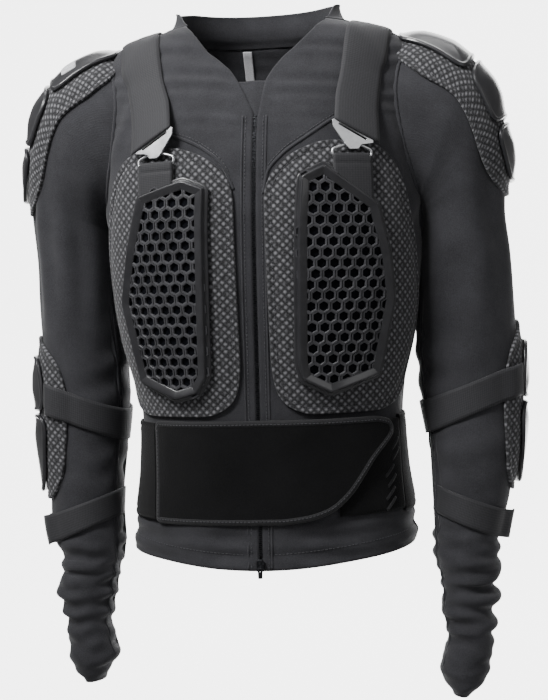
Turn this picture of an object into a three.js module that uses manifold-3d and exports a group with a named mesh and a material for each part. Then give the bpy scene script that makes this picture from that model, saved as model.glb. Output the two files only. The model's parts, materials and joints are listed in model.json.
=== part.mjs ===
// A long-sleeved motorcycle armour jacket, standing in the form that a wearer gives it.
//
// Millimetres, +Z up. The chest faces -Y and the wearer's left arm is on +X. The origin is the middle of
// the neck base, at the height where the jacket sits on the shoulders.
//
// Every soft piece follows one of three worn forms: the torso, and the two arms. A form is a stack of
// oval sections, and a piece is a patch of that form with a lower and an upper distance from it.

import * as THREE from "three";
import { mergeVertices } from "three/addons/utils/BufferGeometryUtils.js";
import Module from "manifold-3d";

const wasm = await Module();
wasm.setup();

// Down the front of the body, from the shoulder line to the hem
const CHEST_PAD_TOP = 120; // below the shoulder line
const CHEST_PAD_HEIGHT = 271;
const PAD_TO_BELT = 5;
const BELT_HEIGHT = 104;
const BELT_TO_HEM = 46;
const BELT_TOP = CHEST_PAD_TOP + CHEST_PAD_HEIGHT + PAD_TO_BELT; // below the shoulder line
const BODY_LENGTH = BELT_TOP + BELT_HEIGHT + BELT_TO_HEM; // shoulder line down to the hem

// Worn form
const COLLAR_HEIGHT = 38; // shoulder line up to the collar's top edge
const CHEST_WIDTH = 332;
const CHEST_DEPTH = 226;
const SLEEVE_DROP = 682; // shoulder line down to the tip of the cuff
const ARM_SPREAD = 206; // centre of the body to the centre of the arm
const SLEEVE_WIDTH = 100; // at the widest, seen from the front
const SLEEVE_DEPTH = 104; // at the widest, seen from the side
const ARMHOLE_HEIGHT = 172;
const HAND_FORWARD = 46; // how far the wrist hangs ahead of the shoulder

// Cloth
const JERSEY_WALL = 2;
const SEAM_GAP = 0.4; // between two pieces sewn edge to edge
const LAYER_GAP = 0.9; // between two layers, so that their facets stay clear of each other
const COLLAR_SEAM_BACK = 4; // height of the collar's seam at the nape
const COLLAR_SEAM_FRONT = 13;
const ZIP_OPENING = 3.4; // bare strip between the two front edges
const ZIP_OFFSET = 2.5; // the closed edges meet a little to the wearer's left
const NECK_V_DEPTH = 52; // bottom of the neck opening, below the shoulder line
const NECK_V_WIDTH = 172; // between the collar's two top corners
const HEM_NOTCH_WIDTH = 16;
const HEM_NOTCH_HEIGHT = 7;

// Armour
const PAD_THICKNESS = 6;
const CHEST_PAD_WIDTH = 181;
const CHEST_PAD_INSET = 15; // from the centre of the chest to the pad
const CHEST_PLATE_HEIGHT = 236;
const CHEST_PLATE_WIDTH = 132;
const CHEST_PLATE_DROP = 20; // from the pad's top edge down to the plate's
const CHEST_PLATE_TOP = CHEST_PAD_TOP + CHEST_PLATE_DROP;
const CHEST_PLATE_INSET = 42; // from the centre of the chest to the plate
const PLATE_WALL = 3;
const PLATE_RIM = 11; // width of the solid frame round the honeycomb
const PLATE_RIM_RISE = 4;
const LINER_THICKNESS = 2;
const LINER_INSET = 15; // from the plate's outline to the liner
const HEX_PITCH = 23;
const HEX_ACROSS = 17; // across the flats
const HOLE_OVERRUN = 1; // how far a hole's cut runs past the plate, and into its rim
const CAP_WALL = 3.2; // shoulder and elbow shells
const CAP_CROWN = 2.4;
const CAP_SEAT = 0.15; // between a shell and its pad's fullest height
const SHOULDER_PAD_LENGTH = 232;
const SHOULDER_PAD_WIDTH = 150;
const SHOULDER_CAP_WIDTH = 104;
const ELBOW_PAD_LENGTH = 178;
const ELBOW_PAD_WIDTH = 128;
const ELBOW_CAP_WIDTH = 88;
const ELBOW_PAD_TOP = 305; // below the shoulder line

// Straps, belt and metal
const STRAP_WIDTH = 39;
const STRAP_THICKNESS = 1.6;
const BUCKLE_ABOVE_PAD = 18; // from the buckle's top edge down to the chest pad
const BUCKLE_TOP = CHEST_PAD_TOP - BUCKLE_ABOVE_PAD;
const STRAP_TUCK = 7; // how far the strap reaches under the buckle
const STRAP_FRONT_DROP = BUCKLE_TOP + STRAP_TUCK; // its lower end, below the shoulder line
const STRAP_TOP_DEPTH = 50; // half of its stretch over the shoulder, front to back
const ELBOW_STRAP_WIDTH = 33;
const FOREARM_STRAP_WIDTH = 28;
const BELT_THICKNESS = 3.4;
const PIPING_RADIUS = 1.9;
const BUCKLE_LENGTH = 40;
const BUCKLE_HEIGHT = 27;
const BUCKLE_THICKNESS = 1.8;
const WIRE_RADIUS = 1.4;
const TAB_WIDTH = 34;
const TAB_THICKNESS = 4.2;
const LABEL_WIDTH = 10;
const LABEL_LENGTH = 34;
const LABEL_THICKNESS = 1;
const LABEL_GAP = 0.5; // from the collar's inside to the label
const LABEL_DROP = 2; // from the collar's seam to the label's top
const LABEL_OFFSET = 23; // from the nape to the label's middle
const STRAP_CLEARANCE = 6; // between an arm strap and the pad beside it
const METAL_GAP = 0.4;
const RING_CLEARANCE = 0.6; // from the pad to the ring
const TUCK_CLEARANCE = 0.7; // from the strap's end to the buckle over it
const RIB_LENGTH = 17;
const RIB_WIDTH = 3;
const RIB_RISE = 1.2;
const RIB_ROOT = 1; // how far a rib reaches into its panel
const RIB_DEGREES = 42; // a rib's slant
const GARAGE_HEIGHT = 30; // the cloth triangle that hides the zip's top
const GARAGE_WIDTH = 30;
const ZIP_TAPE_WIDTH = 30;
const ZIP_TAPE_THICKNESS = 1.2;
const ZIP_TAPE_DROP = 1.4; // from the cloth's inside to the tape
const ZIP_BOX_DEPTH = 4.4;
const ZIP_BOX_WIDTH = 8;
const ZIP_BOX_HEIGHT = 12;
const ZIP_START = 3; // from the bottom of the neck opening to the zip
const ZIP_TAPE_END = 1; // from the hem's notch to the tape

const TORSO_SIDES = 24;
const ARM_SIDES = 10;

// Torso sections, from the collar's top down to the hem. up is a share of COLLAR_HEIGHT and down of
// BODY_LENGTH; wide is a share of half CHEST_WIDTH; front and back are shares of half CHEST_DEPTH.
const TORSO = [
  { up: 1.0, down: 0.0, wide: 0.506, front: 0.442, back: 0.531, round: 2.1 },
  { up: 0.64, down: 0.0, wide: 0.518, front: 0.451, back: 0.54, round: 2.1 },
  { up: 0.35, down: 0.0, wide: 0.554, front: 0.478, back: 0.566, round: 2.1 },
  { up: 0.21, down: 0.0, wide: 0.639, front: 0.504, back: 0.593, round: 2.15 },
  { up: 0.07, down: 0.0, wide: 0.753, front: 0.531, back: 0.619, round: 2.2 },
  { up: 0.0, down: 0.006, wide: 0.855, front: 0.558, back: 0.646, round: 2.25 },
  { up: 0.0, down: 0.022, wide: 0.934, front: 0.593, back: 0.69, round: 2.3 },
  { up: 0.0, down: 0.051, wide: 0.982, front: 0.646, back: 0.752, round: 2.35 },
  { up: 0.0, down: 0.095, wide: 1.0, front: 0.735, back: 0.832, round: 2.4 },
  { up: 0.0, down: 0.174, wide: 1.006, front: 0.876, back: 0.929, round: 2.4 },
  { up: 0.0, down: 0.266, wide: 1.0, front: 0.973, back: 0.982, round: 2.4 },
  { up: 0.0, down: 0.366, wide: 0.988, front: 1.009, back: 0.982, round: 2.4 },
  { up: 0.0, down: 0.467, wide: 0.964, front: 0.991, back: 0.947, round: 2.35 },
  { up: 0.0, down: 0.568, wide: 0.916, front: 0.947, back: 0.885, round: 2.3 },
  { up: 0.0, down: 0.659, wide: 0.846, front: 0.903, back: 0.85, round: 2.3 },
  { up: 0.0, down: 0.742, wide: 0.819, front: 0.885, back: 0.832, round: 2.3 },
  { up: 0.0, down: 0.824, wide: 0.831, front: 0.894, back: 0.858, round: 2.3 },
  { up: 0.0, down: 0.916, wide: 0.873, front: 0.929, back: 0.912, round: 2.3 },
  { up: 0.0, down: 1.0, wide: 0.91, front: 0.965, back: 0.956, round: 2.3 },
];

// Arm sections. The first seven fan round the armpit: tall is a share of half ARMHOLE_HEIGHT there and of
// half SLEEVE_WIDTH below. out is a share of ARM_SPREAD, down of SLEEVE_DROP, deep of half SLEEVE_DEPTH and
// ahead of HAND_FORWARD. tilt is the section's slant, 90 where it stands upright at the armhole.
const SHOULDER_SECTIONS = [
  { out: 0.612, down: 0.144, tall: 0.953, deep: 1.115, tilt: 90, ahead: -0.07 },
  { out: 0.767, down: 0.144, tall: 1.0, deep: 1.192, tilt: 88, ahead: -0.07 },
  { out: 0.922, down: 0.163, tall: 0.93, deep: 1.192, tilt: 70, ahead: -0.07 },
  { out: 0.985, down: 0.2, tall: 0.767, deep: 1.115, tilt: 52, ahead: -0.09 },
  { out: 1.005, down: 0.234, tall: 0.628, deep: 1.038, tilt: 36, ahead: -0.09 },
  { out: 1.01, down: 0.264, tall: 0.543, deep: 1.0, tilt: 20, ahead: -0.11 },
  { out: 1.006, down: 0.292, tall: 0.512, deep: 0.981, tilt: 6, ahead: -0.11 },
];
const ARM_SECTIONS = {
  right: [
    { out: 1.0, down: 0.352, wide: 0.86, deep: 0.962, ahead: -0.13 },
    { out: 1.0, down: 0.491, wide: 0.88, deep: 0.942, ahead: -0.2 },
    { out: 1.0, down: 0.557, wide: 0.9, deep: 0.962, ahead: -0.17 },
    { out: 0.998, down: 0.616, wide: 0.83, deep: 0.904, ahead: -0.04 },
    { out: 0.995, down: 0.667, wide: 0.75, deep: 0.827, ahead: 0.13 },
    { out: 0.993, down: 0.723, wide: 0.72, deep: 0.769, ahead: 0.33 },
    { out: 0.97, down: 0.769, wide: 0.69, deep: 0.731, ahead: 0.5 },
    { out: 0.95, down: 0.796, wide: 0.58, deep: 0.635, ahead: 0.61 },
    { out: 0.963, down: 0.807, wide: 0.61, deep: 0.673, ahead: 0.65 },
    { out: 0.957, down: 0.819, wide: 0.54, deep: 0.596, ahead: 0.7 },
    { out: 0.979, down: 0.835, wide: 0.6, deep: 0.654, ahead: 0.74 },
    { out: 0.977, down: 0.855, wide: 0.55, deep: 0.596, ahead: 0.83 },
    { out: 0.966, down: 0.878, wide: 0.464, deep: 0.538, ahead: 0.91 },
    { out: 0.961, down: 0.899, wide: 0.42, deep: 0.5, ahead: 1.0 },
    { out: 0.933, down: 0.941, wide: 0.476, deep: 0.577, ahead: 1.13 },
    { out: 0.939, down: 0.959, wide: 0.34, deep: 0.519, ahead: 1.17 },
    { out: 0.927, down: 0.978, wide: 0.17, deep: 0.385, ahead: 1.2 },
  ],
  left: [
    { out: 1.005, down: 0.352, wide: 0.96, deep: 0.981, ahead: -0.13 },
    { out: 1.012, down: 0.484, wide: 1.02, deep: 1.0, ahead: -0.2 },
    { out: 1.017, down: 0.543, wide: 1.0, deep: 1.0, ahead: -0.17 },
    { out: 1.029, down: 0.632, wide: 0.86, deep: 0.904, ahead: 0.09 },
    { out: 1.024, down: 0.701, wide: 0.73, deep: 0.788, ahead: 0.3 },
    { out: 1.0, down: 0.745, wide: 0.68, deep: 0.75, ahead: 0.43 },
    { out: 0.977, down: 0.796, wide: 0.628, deep: 0.692, ahead: 0.61 },
    { out: 0.995, down: 0.821, wide: 0.608, deep: 0.673, ahead: 0.67 },
    { out: 0.983, down: 0.841, wide: 0.494, deep: 0.577, ahead: 0.74 },
    { out: 0.997, down: 0.862, wide: 0.56, deep: 0.615, ahead: 0.8 },
    { out: 0.973, down: 0.879, wide: 0.474, deep: 0.538, ahead: 0.87 },
    { out: 0.991, down: 0.898, wide: 0.484, deep: 0.538, ahead: 0.93 },
    { out: 0.989, down: 0.913, wide: 0.42, deep: 0.5, ahead: 1.0 },
    { out: 0.979, down: 0.932, wide: 0.448, deep: 0.538, ahead: 1.07 },
    { out: 0.954, down: 0.966, wide: 0.464, deep: 0.558, ahead: 1.15 },
    { out: 0.951, down: 0.987, wide: 0.3, deep: 0.5, ahead: 1.17 },
    { out: 0.937, down: 1.0, wide: 0.14, deep: 0.365, ahead: 1.2 },
  ],
};
// The row of the table at which each cuff is sewn on, counted from the armhole.
const CUFF_ROW = { right: 20, left: 19 };

// Neck opening, from its bottom up to the collar's corners. rise is a share of the way up; right and left are
// shares of half NECK_V_WIDTH, on the wearer's right and left.
const NECK_V = [
  { rise: 0.0, right: 0.15, left: 0.15 },
  { rise: 0.16, right: 0.4, left: 0.25 },
  { rise: 0.34, right: 0.61, left: 0.4 },
  { rise: 0.56, right: 0.8, left: 0.6 },
  { rise: 0.8, right: 0.91, left: 0.82 },
  { rise: 1.0, right: 0.99, left: 1.0 },
];

// Outlines of flat-cut pieces. down is a share of the piece's height; near and far are shares of its width,
// measured from the centre of the chest outwards.
const CHEST_PAD = [
  { down: 0.0, near: 0.32, far: 0.56 },
  { down: 0.04, near: 0.17, far: 0.68 },
  { down: 0.1, near: 0.06, far: 0.76 },
  { down: 0.2, near: 0.0, far: 0.83 },
  { down: 0.42, near: 0.0, far: 0.94 },
  { down: 0.62, near: 0.0, far: 1.0 },
  { down: 0.78, near: 0.0, far: 0.95 },
  { down: 0.9, near: 0.02, far: 0.86 },
  { down: 0.96, near: 0.07, far: 0.78 },
  { down: 1.0, near: 0.18, far: 0.62 },
];
const CHEST_PLATE = [
  { down: 0.0, near: 0.24, far: 0.34 },
  { down: 0.07, near: 0.0, far: 0.62 },
  { down: 0.14, near: 0.0, far: 0.72 },
  { down: 0.36, near: 0.0, far: 0.87 },
  { down: 0.56, near: 0.0, far: 1.0 },
  { down: 0.68, near: 0.0, far: 0.99 },
  { down: 0.84, near: 0.0, far: 0.86 },
  { down: 0.92, near: 0.03, far: 0.74 },
  { down: 0.96, near: 0.12, far: 0.56 },
  { down: 1.0, near: 0.26, far: 0.36 },
];
// The arm's pads and shells. along is a share of the pad's length, from the neck end; front and back are
// shares of half the pad's width, measured from the arm's outer line.
const SHOULDER_PAD = [
  { along: 0.0, front: 0.3, back: 0.3 },
  { along: 0.06, front: 0.72, back: 0.72 },
  { along: 0.2, front: 0.98, back: 0.98 },
  { along: 0.42, front: 1.0, back: 1.0 },
  { along: 0.64, front: 0.9, back: 0.9 },
  { along: 0.84, front: 0.7, back: 0.7 },
  { along: 0.96, front: 0.46, back: 0.46 },
  { along: 1.0, front: 0.25, back: 0.25 },
];
const ELBOW_PAD = [
  { along: 0.0, front: 0.2, back: 0.2 },
  { along: 0.08, front: 0.56, back: 0.56 },
  { along: 0.22, front: 0.88, back: 0.88 },
  { along: 0.42, front: 1.0, back: 1.0 },
  { along: 0.7, front: 0.86, back: 0.86 },
  { along: 0.93, front: 0.6, back: 0.6 },
  { along: 1.0, front: 0.42, back: 0.42 },
];
const SHOULDER_CAPS = [
  { name: "top", start: 0.05, end: 0.375, neckWidth: 0.62, armWidth: 1.0 },
  { name: "middle", start: 0.395, end: 0.66, neckWidth: 1.0, armWidth: 0.86 },
  { name: "lower", start: 0.68, end: 0.94, neckWidth: 0.8, armWidth: 0.42 },
];
const ELBOW_CAPS = [
  { name: "upper", start: 0.12, end: 0.455, neckWidth: 0.66, armWidth: 1.0 },
  { name: "lower", start: 0.475, end: 0.96, neckWidth: 1.0, armWidth: 0.46 },
];
// How far each elbow's armour is turned back from the arm's outer line.
const ELBOW_DEGREES = { right: -4, left: 22 };

// The belt's front flap. down is a share of BELT_HEIGHT; far is the flap's free edge and is a share of
// FLAP_REACH from the centre of the body.
const FLAP_REACH = 138;
const FLAP_START = 116; // the seam on the wearer's right
const FLAP = [
  { down: 0.0, far: 0.86 },
  { down: 0.06, far: 0.98 },
  { down: 0.16, far: 1.0 },
  { down: 0.42, far: 0.82 },
  { down: 0.76, far: 0.63 },
  { down: 0.9, far: 0.5 },
  { down: 0.97, far: 0.34 },
  { down: 1.0, far: 0.16 },
];

// Ribs on the under-flap, as shares of BELT_HEIGHT and of FLAP_REACH.
const UNDER_FLAP_RIBS = [
  { down: 0.3, u: 1.06 },
  { down: 0.4, u: 1.06 },
  { down: 0.56, u: 0.98 },
  { down: 0.66, u: 1.0 },
  { down: 0.78, u: 0.98 },
  { down: 0.88, u: 0.98 },
];

// Shoulder strap, from the buckle over the shoulder to the belt. across is a share of STRAP_SPREAD. place is a
// share of STRAP_FRONT_DROP on the front, of STRAP_TOP_DEPTH on top and of BELT_TOP down the back.
const STRAP_SPREAD = 121;
const STRAP_ROUTE = [
  { face: "front", across: 0.865, place: 1.0 },
  { face: "front", across: 0.885, place: 0.72 },
  { face: "front", across: 0.92, place: 0.46 },
  { face: "top", across: 0.96, place: -1.0 },
  { face: "top", across: 0.976, place: -0.78 },
  { face: "top", across: 0.99, place: -0.56 },
  { face: "top", across: 0.997, place: -0.32 },
  { face: "top", across: 1.0, place: -0.08 },
  { face: "top", across: 1.0, place: 0.06 },
  { face: "top", across: 1.0, place: 0.2 },
  { face: "top", across: 0.996, place: 0.35 },
  { face: "top", across: 0.99, place: 0.5 },
  { face: "top", across: 0.98, place: 0.71 },
  { face: "top", across: 0.97, place: 0.92 },
  { face: "back", across: 0.96, place: 0.035 },
  { face: "back", across: 0.94, place: 0.07 },
  { face: "back", across: 0.92, place: 0.12 },
  { face: "back", across: 0.87, place: 0.22 },
  { face: "back", across: 0.8, place: 0.4 },
  { face: "back", across: 0.71, place: 0.62 },
  { face: "back", across: 0.62, place: 0.82 },
  { face: "back", across: 0.54, place: 0.992 },
];

// Arm straps. outer and inner are the heights of the strap's middle at the arm's outer and inner line, as
// shares of SLEEVE_DROP below the shoulder line.
const ARM_STRAPS = [
  { name: "elbow", width: ELBOW_STRAP_WIDTH, outer: 0.535, inner: 0.592 },
  { name: "forearm", width: FOREARM_STRAP_WIDTH, outer: 0.752, inner: 0.712 },
];

// Colours
const JERSEY = { color: 0x45464a, roughness: 0.92, metalness: 0 };
const PATTERNED = { color: 0x4b4b4d, roughness: 0.9, metalness: 0 };
const WEBBING = { color: 0x3c3d40, roughness: 0.85, metalness: 0 };
const BELT_CLOTH = { color: 0x1b1b1c, roughness: 0.95, metalness: 0 };
const BINDING = { color: 0x47474a, roughness: 0.9, metalness: 0 };
const MOULDED = { color: 0x4a4b4d, roughness: 0.38, metalness: 0 };
const FOAM = { color: 0x101113, roughness: 1, metalness: 0 };
const STEEL = { color: 0xd4d4d6, roughness: 0.25, metalness: 1 };
const LABEL_CLOTH = { color: 0xd0d0d2, roughness: 0.9, metalness: 0 };
const DARK_METAL = { color: 0x2a2a2c, roughness: 0.5, metalness: 0.6 };

const { degToRad, lerp, smoothstep } = THREE.MathUtils;
const vec = (x, y, z) => new THREE.Vector3(x, y, z);
const jacket = new THREE.Group();

// Adds one named piece to the jacket.
function addPiece(name, geometry, finish) {
  const mesh = new THREE.Mesh(geometry, new THREE.MeshStandardMaterial(finish));
  mesh.name = name;
  jacket.add(mesh);
  return mesh;
}

// A table read between its rows, on cubics that never overshoot a row.
function readRow(rows, at) {
  const last = rows.length - 1;
  const place = Math.min(Math.max(at, 0), last);
  const i = Math.min(Math.floor(place), last - 1);
  const f = place - i;
  const row = {};
  for (const key of Object.keys(rows[i])) {
    const [a, b] = [rows[i][key], rows[i + 1][key]];
    const before = i > 0 ? a - rows[i - 1][key] : b - a;
    const after = i + 2 <= last ? rows[i + 2][key] - b : b - a;
    const slope = (p, q) => (p * q <= 0 ? 0 : (2 * p * q) / (p + q));
    const [m, n] = [slope(before, b - a), slope(b - a, after)];
    const [f2, f3] = [f * f, f * f * f];
    row[key] = (2 * f3 - 3 * f2 + 1) * a + (f3 - 2 * f2 + f) * m + (3 * f2 - 2 * f3) * b + (f3 - f2) * n;
  }
  return row;
}

// The place in a table where one column, which only rises or only falls, has a value.
function findRow(rows, key, value) {
  let [low, high] = [0, rows.length - 1];
  const rising = rows[high][key] > rows[0][key];
  for (let step = 0; step < 40; step++) {
    const middle = (low + high) / 2;
    if (readRow(rows, middle)[key] < value === rising) low = middle;
    else high = middle;
  }
  return (low + high) / 2;
}

// The torso's sections in millimetres.
const torsoRows = TORSO.map((s) => ({
  height: s.up * COLLAR_HEIGHT - s.down * BODY_LENGTH,
  wide: (s.wide * CHEST_WIDTH) / 2,
  front: (s.front * CHEST_DEPTH) / 2,
  back: (s.back * CHEST_DEPTH) / 2,
  round: s.round,
}));

// Both arms' sections in millimetres, on the +X side.
function armRows(side) {
  const shoulder = SHOULDER_SECTIONS.map((s) => ({
    out: s.out * ARM_SPREAD,
    height: -s.down * SLEEVE_DROP,
    half: (s.tall * ARMHOLE_HEIGHT) / 2,
    deep: (s.deep * SLEEVE_DEPTH) / 2,
    tilt: s.tilt,
    ahead: s.ahead * HAND_FORWARD,
  }));
  const arm = ARM_SECTIONS[side].map((s) => ({
    out: s.out * ARM_SPREAD,
    height: -s.down * SLEEVE_DROP,
    half: (s.wide * SLEEVE_WIDTH) / 2,
    deep: (s.deep * SLEEVE_DEPTH) / 2,
    tilt: 0,
    ahead: s.ahead * HAND_FORWARD,
  }));
  return [...shoulder, ...arm];
}

// A form is a function of a row and an angle. On the torso the angle is 0 at the centre of the chest and 90
// degrees at the wearer's left side.
function torsoForm(row, angle) {
  const s = readRow(torsoRows, row);
  const [sine, cosine] = [Math.sin(angle), Math.cos(angle)];
  const depth = cosine > 0 ? s.front : s.back;
  const reach = ((Math.abs(sine) / s.wide) ** s.round + (Math.abs(cosine) / depth) ** s.round) ** (-1 / s.round);
  return vec(reach * sine, -reach * cosine, s.height);
}

// On an arm the angle is 0 on the outer line and 90 degrees at the front.
function armForm(side) {
  const rows = armRows(side);
  const mirror = side === "left" ? 1 : -1;
  return (row, angle) => {
    const s = readRow(rows, row);
    const tilt = degToRad(s.tilt);
    const out = s.half * Math.cos(angle);
    return vec(
      mirror * (s.out + out * Math.cos(tilt)),
      -s.ahead - s.deep * Math.sin(angle),
      s.height + out * Math.sin(tilt),
    );
  };
}

const arms = { right: armForm("right"), left: armForm("left") };
const armSign = { right: -1, left: 1 };

// A point at a distance from a form, measured square to it. turn is 1 or -1, as the form's angle runs.
function lifted(form, row, angle, lift, turn) {
  const [stepRow, stepAngle] = [0.02, 0.01];
  const across = form(row, angle + stepAngle).sub(form(row, angle - stepAngle));
  const along = form(row + stepRow, angle).sub(form(row - stepRow, angle));
  const normal = across.cross(along).normalize();
  return form(row, angle).addScaledVector(normal, turn * lift);
}
const liftTorso = (row, angle, lift) => lifted(torsoForm, row, angle, lift, -1);
const liftArm = (side, row, angle, lift) => lifted(arms[side], row, angle, lift, armSign[side]);

// The angle that lies a distance round a section from its start.
function angleAt(form, row, distance) {
  const step = degToRad(2) * Math.sign(distance);
  let [angle, walked] = [0, 0];
  let here = form(row, 0);
  while (walked < Math.abs(distance)) {
    const next = form(row, angle + step);
    const length = next.distanceTo(here);
    const share = Math.min(1, (Math.abs(distance) - walked) / length);
    angle += step * share;
    walked += length;
    here = next;
  }
  return angle;
}

// The row of an arm's section that lies a distance down its outer line from the armhole's top.
function rowAlong(side, distance) {
  const form = arms[side];
  const step = 0.05;
  let [row, walked] = [ARMHOLE_ROW, 0];
  while (walked < distance) {
    const length = form(row + step, 0).distanceTo(form(row, 0));
    row += step * Math.min(1, (distance - walked) / length);
    walked += length;
  }
  return row;
}
const ARMHOLE_ROW = 0.35; // where the armour starts, just inside the armhole's seam

// A closed solid from vertices and faces, turned the right way out.
function toSolid(points, faces) {
  let volume = 0;
  for (const [a, b, c] of faces) volume += points[a].dot(points[b].clone().cross(points[c]));
  const turned = volume < 0 ? faces.map(([a, b, c]) => [a, c, b]) : faces;
  return new wasm.Manifold(
    new wasm.Mesh({
      numProp: 3,
      vertProperties: new Float32Array(points.flatMap((p) => p.toArray())),
      triVerts: new Uint32Array(turned.flat()),
    }),
  );
}

function fromGeometry(geometry) {
  const bare = geometry.clone();
  for (const name of Object.keys(bare.attributes)) if (name !== "position") bare.deleteAttribute(name);
  const merged = mergeVertices(bare, 1e-4);
  const position = merged.getAttribute("position");
  const points = Array.from({ length: position.count }, (_, i) => vec(0, 0, 0).fromBufferAttribute(position, i));
  const index = merged.index.array;
  const faces = Array.from({ length: index.length / 3 }, (_, i) => [...index.subarray(3 * i, 3 * i + 3)]);
  return toSolid(points, faces.filter(([a, b, c]) => a !== b && b !== c && c !== a));
}

function toGeometry(solid) {
  const mesh = solid.getMesh();
  const geometry = new THREE.BufferGeometry();
  geometry.setAttribute("position", new THREE.BufferAttribute(new Float32Array(mesh.vertProperties), 3));
  geometry.setIndex(new THREE.BufferAttribute(new Uint32Array(mesh.triVerts), 1));
  geometry.computeVertexNormals();
  return geometry;
}

// Keeps a solid's largest body, when a cut has left a sliver beside it.
function largestBody(solid) {
  return solid.decompose().reduce((best, body) => (body.volume() > best.volume() ? body : best));
}

// A closed solid through rings of points, with flat ends.
function loft(rings) {
  const count = rings[0].length;
  const points = rings.flat();
  const faces = [];
  for (let r = 0; r + 1 < rings.length; r++) {
    for (let i = 0; i < count; i++) {
      const [a, b] = [r * count + i, r * count + ((i + 1) % count)];
      faces.push([a, b, b + count], [a, b + count, a + count]);
    }
  }
  for (const start of [0, (rings.length - 1) * count]) {
    const centre = points.length;
    const middle = vec(0, 0, 0);
    for (let i = 0; i < count; i++) middle.add(points[start + i]);
    points.push(middle.divideScalar(count));
    for (let i = 0; i < count; i++) {
      const [a, b] = [start + i, start + ((i + 1) % count)];
      faces.push(start === 0 ? [centre, b, a] : [centre, a, b]);
    }
  }
  return toSolid(points, faces);
}

// A closed patch: rows and columns of points at a lower and an upper distance, joined at their borders.
// place(row, column, level) gives the point, with level 0 for the lower face and 1 for the upper.
function patch(rows, columns, place) {
  const points = [];
  const at = (r, c, level) => (level * rows + r) * columns + c;
  for (const level of [0, 1])
    for (let r = 0; r < rows; r++) for (let c = 0; c < columns; c++) points.push(place(r, c, level));
  const faces = [];
  const quad = (a, b, c, d) => faces.push([a, b, c], [a, c, d]);
  for (let r = 0; r + 1 < rows; r++) {
    for (let c = 0; c + 1 < columns; c++) {
      quad(at(r, c, 0), at(r, c + 1, 0), at(r + 1, c + 1, 0), at(r + 1, c, 0));
      quad(at(r, c, 1), at(r + 1, c, 1), at(r + 1, c + 1, 1), at(r, c + 1, 1));
    }
    quad(at(r, 0, 0), at(r + 1, 0, 0), at(r + 1, 0, 1), at(r, 0, 1));
    quad(at(r, columns - 1, 0), at(r, columns - 1, 1), at(r + 1, columns - 1, 1), at(r + 1, columns - 1, 0));
  }
  for (let c = 0; c + 1 < columns; c++) {
    quad(at(0, c, 0), at(0, c, 1), at(0, c + 1, 1), at(0, c + 1, 0));
    quad(at(rows - 1, c, 0), at(rows - 1, c + 1, 0), at(rows - 1, c + 1, 1), at(rows - 1, c, 1));
  }
  return toSolid(points, faces);
}

// A closed ring of wire along a flat closed curve in XY.
function wireRing(curve, radius, steps, sides) {
  const points = [];
  const faces = [];
  for (let i = 0; i < steps; i++) {
    const middle = curve.getPointAt(i / steps);
    const tangent = curve.getTangentAt(i / steps);
    const side = vec(-tangent.y, tangent.x, 0).normalize();
    for (let j = 0; j < sides; j++) {
      const angle = (2 * Math.PI * j) / sides;
      points.push(middle.clone().addScaledVector(side, radius * Math.cos(angle)).add(vec(0, 0, radius * Math.sin(angle))));
      const [a, b] = [i * sides + j, i * sides + ((j + 1) % sides)];
      const next = ((i + 1) % steps) * sides - i * sides;
      faces.push([a, b, b + next], [a, b + next, a + next]);
    }
  }
  return { points, faces };
}

function boxSolid(low, high) {
  const [a, b] = [vec(...low), vec(...high)];
  const size = b.clone().sub(a);
  const middle = a.clone().add(b).multiplyScalar(0.5);
  return fromGeometry(new THREE.BoxGeometry(...size.toArray()).translate(...middle.toArray()));
}

const heightToRow = (height) => findRow(torsoRows, "height", height);

// Jersey shell

const OVERSHOOT = 6; // how far a hollow runs past the wall that it opens
const FAR = 1000; // larger than the jacket

function torsoRings(lift, overshoot) {
  const rings = torsoRows.map((_, row) =>
    Array.from({ length: TORSO_SIDES }, (_, i) => liftTorso(row, (2 * Math.PI * i) / TORSO_SIDES, lift)),
  );
  // Square the ends, so that the wall ends on level edges.
  for (const point of rings[0]) point.z = COLLAR_HEIGHT + overshoot;
  for (const point of rings[rings.length - 1]) point.z = -BODY_LENGTH - overshoot;
  return rings;
}

function armRings(side, from, to, lift) {
  const rings = [];
  for (let row = from; row <= to; row++)
    rings.push(Array.from({ length: ARM_SIDES }, (_, i) => liftArm(side, row, (2 * Math.PI * i) / ARM_SIDES, lift)));
  return rings;
}

const torsoOuter = loft(torsoRings(JERSEY_WALL, 0));
const torsoInner = loft(torsoRings(0, OVERSHOOT));
const lastArmRow = SHOULDER_SECTIONS.length + ARM_SECTIONS.right.length - 1;
const sides = ["right", "left"];

// The end of a hollow, carried on past the end of its wall.
function carriedOn(rings) {
  const last = rings[rings.length - 1].map((p) => p.clone().add(vec(0, 0, -OVERSHOOT)));
  return [...rings, last];
}

const sleeveOuter = {};
const sleeveInner = {};
for (const side of sides) {
  sleeveOuter[side] = loft(armRings(side, 0, lastArmRow, JERSEY_WALL));
  sleeveInner[side] = loft(carriedOn(armRings(side, 0, lastArmRow, 0)));
}

// The neck opening, cut through the front of the collar and chest.
function neckCutter() {
  const top = COLLAR_HEIGHT + OVERSHOOT;
  const shape = new THREE.Shape();
  const height = (rise) => lerp(-NECK_V_DEPTH, COLLAR_HEIGHT, rise);
  const half = NECK_V_WIDTH / 2;
  NECK_V.forEach((row, i) => {
    const point = [-row.right * half, height(row.rise)];
    if (i === 0) shape.moveTo(...point);
    else shape.lineTo(...point);
  });
  shape.lineTo(-half, top).lineTo(half, top);
  for (const row of [...NECK_V].reverse()) shape.lineTo(row.left * half, height(row.rise));
  const reach = CHEST_DEPTH;
  const solid = new THREE.ExtrudeGeometry(shape, { depth: reach, bevelEnabled: false });
  // The shape stands in XZ, and its thickness runs from the middle of the neck forwards.
  return fromGeometry(solid.rotateX(Math.PI / 2));
}

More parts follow.
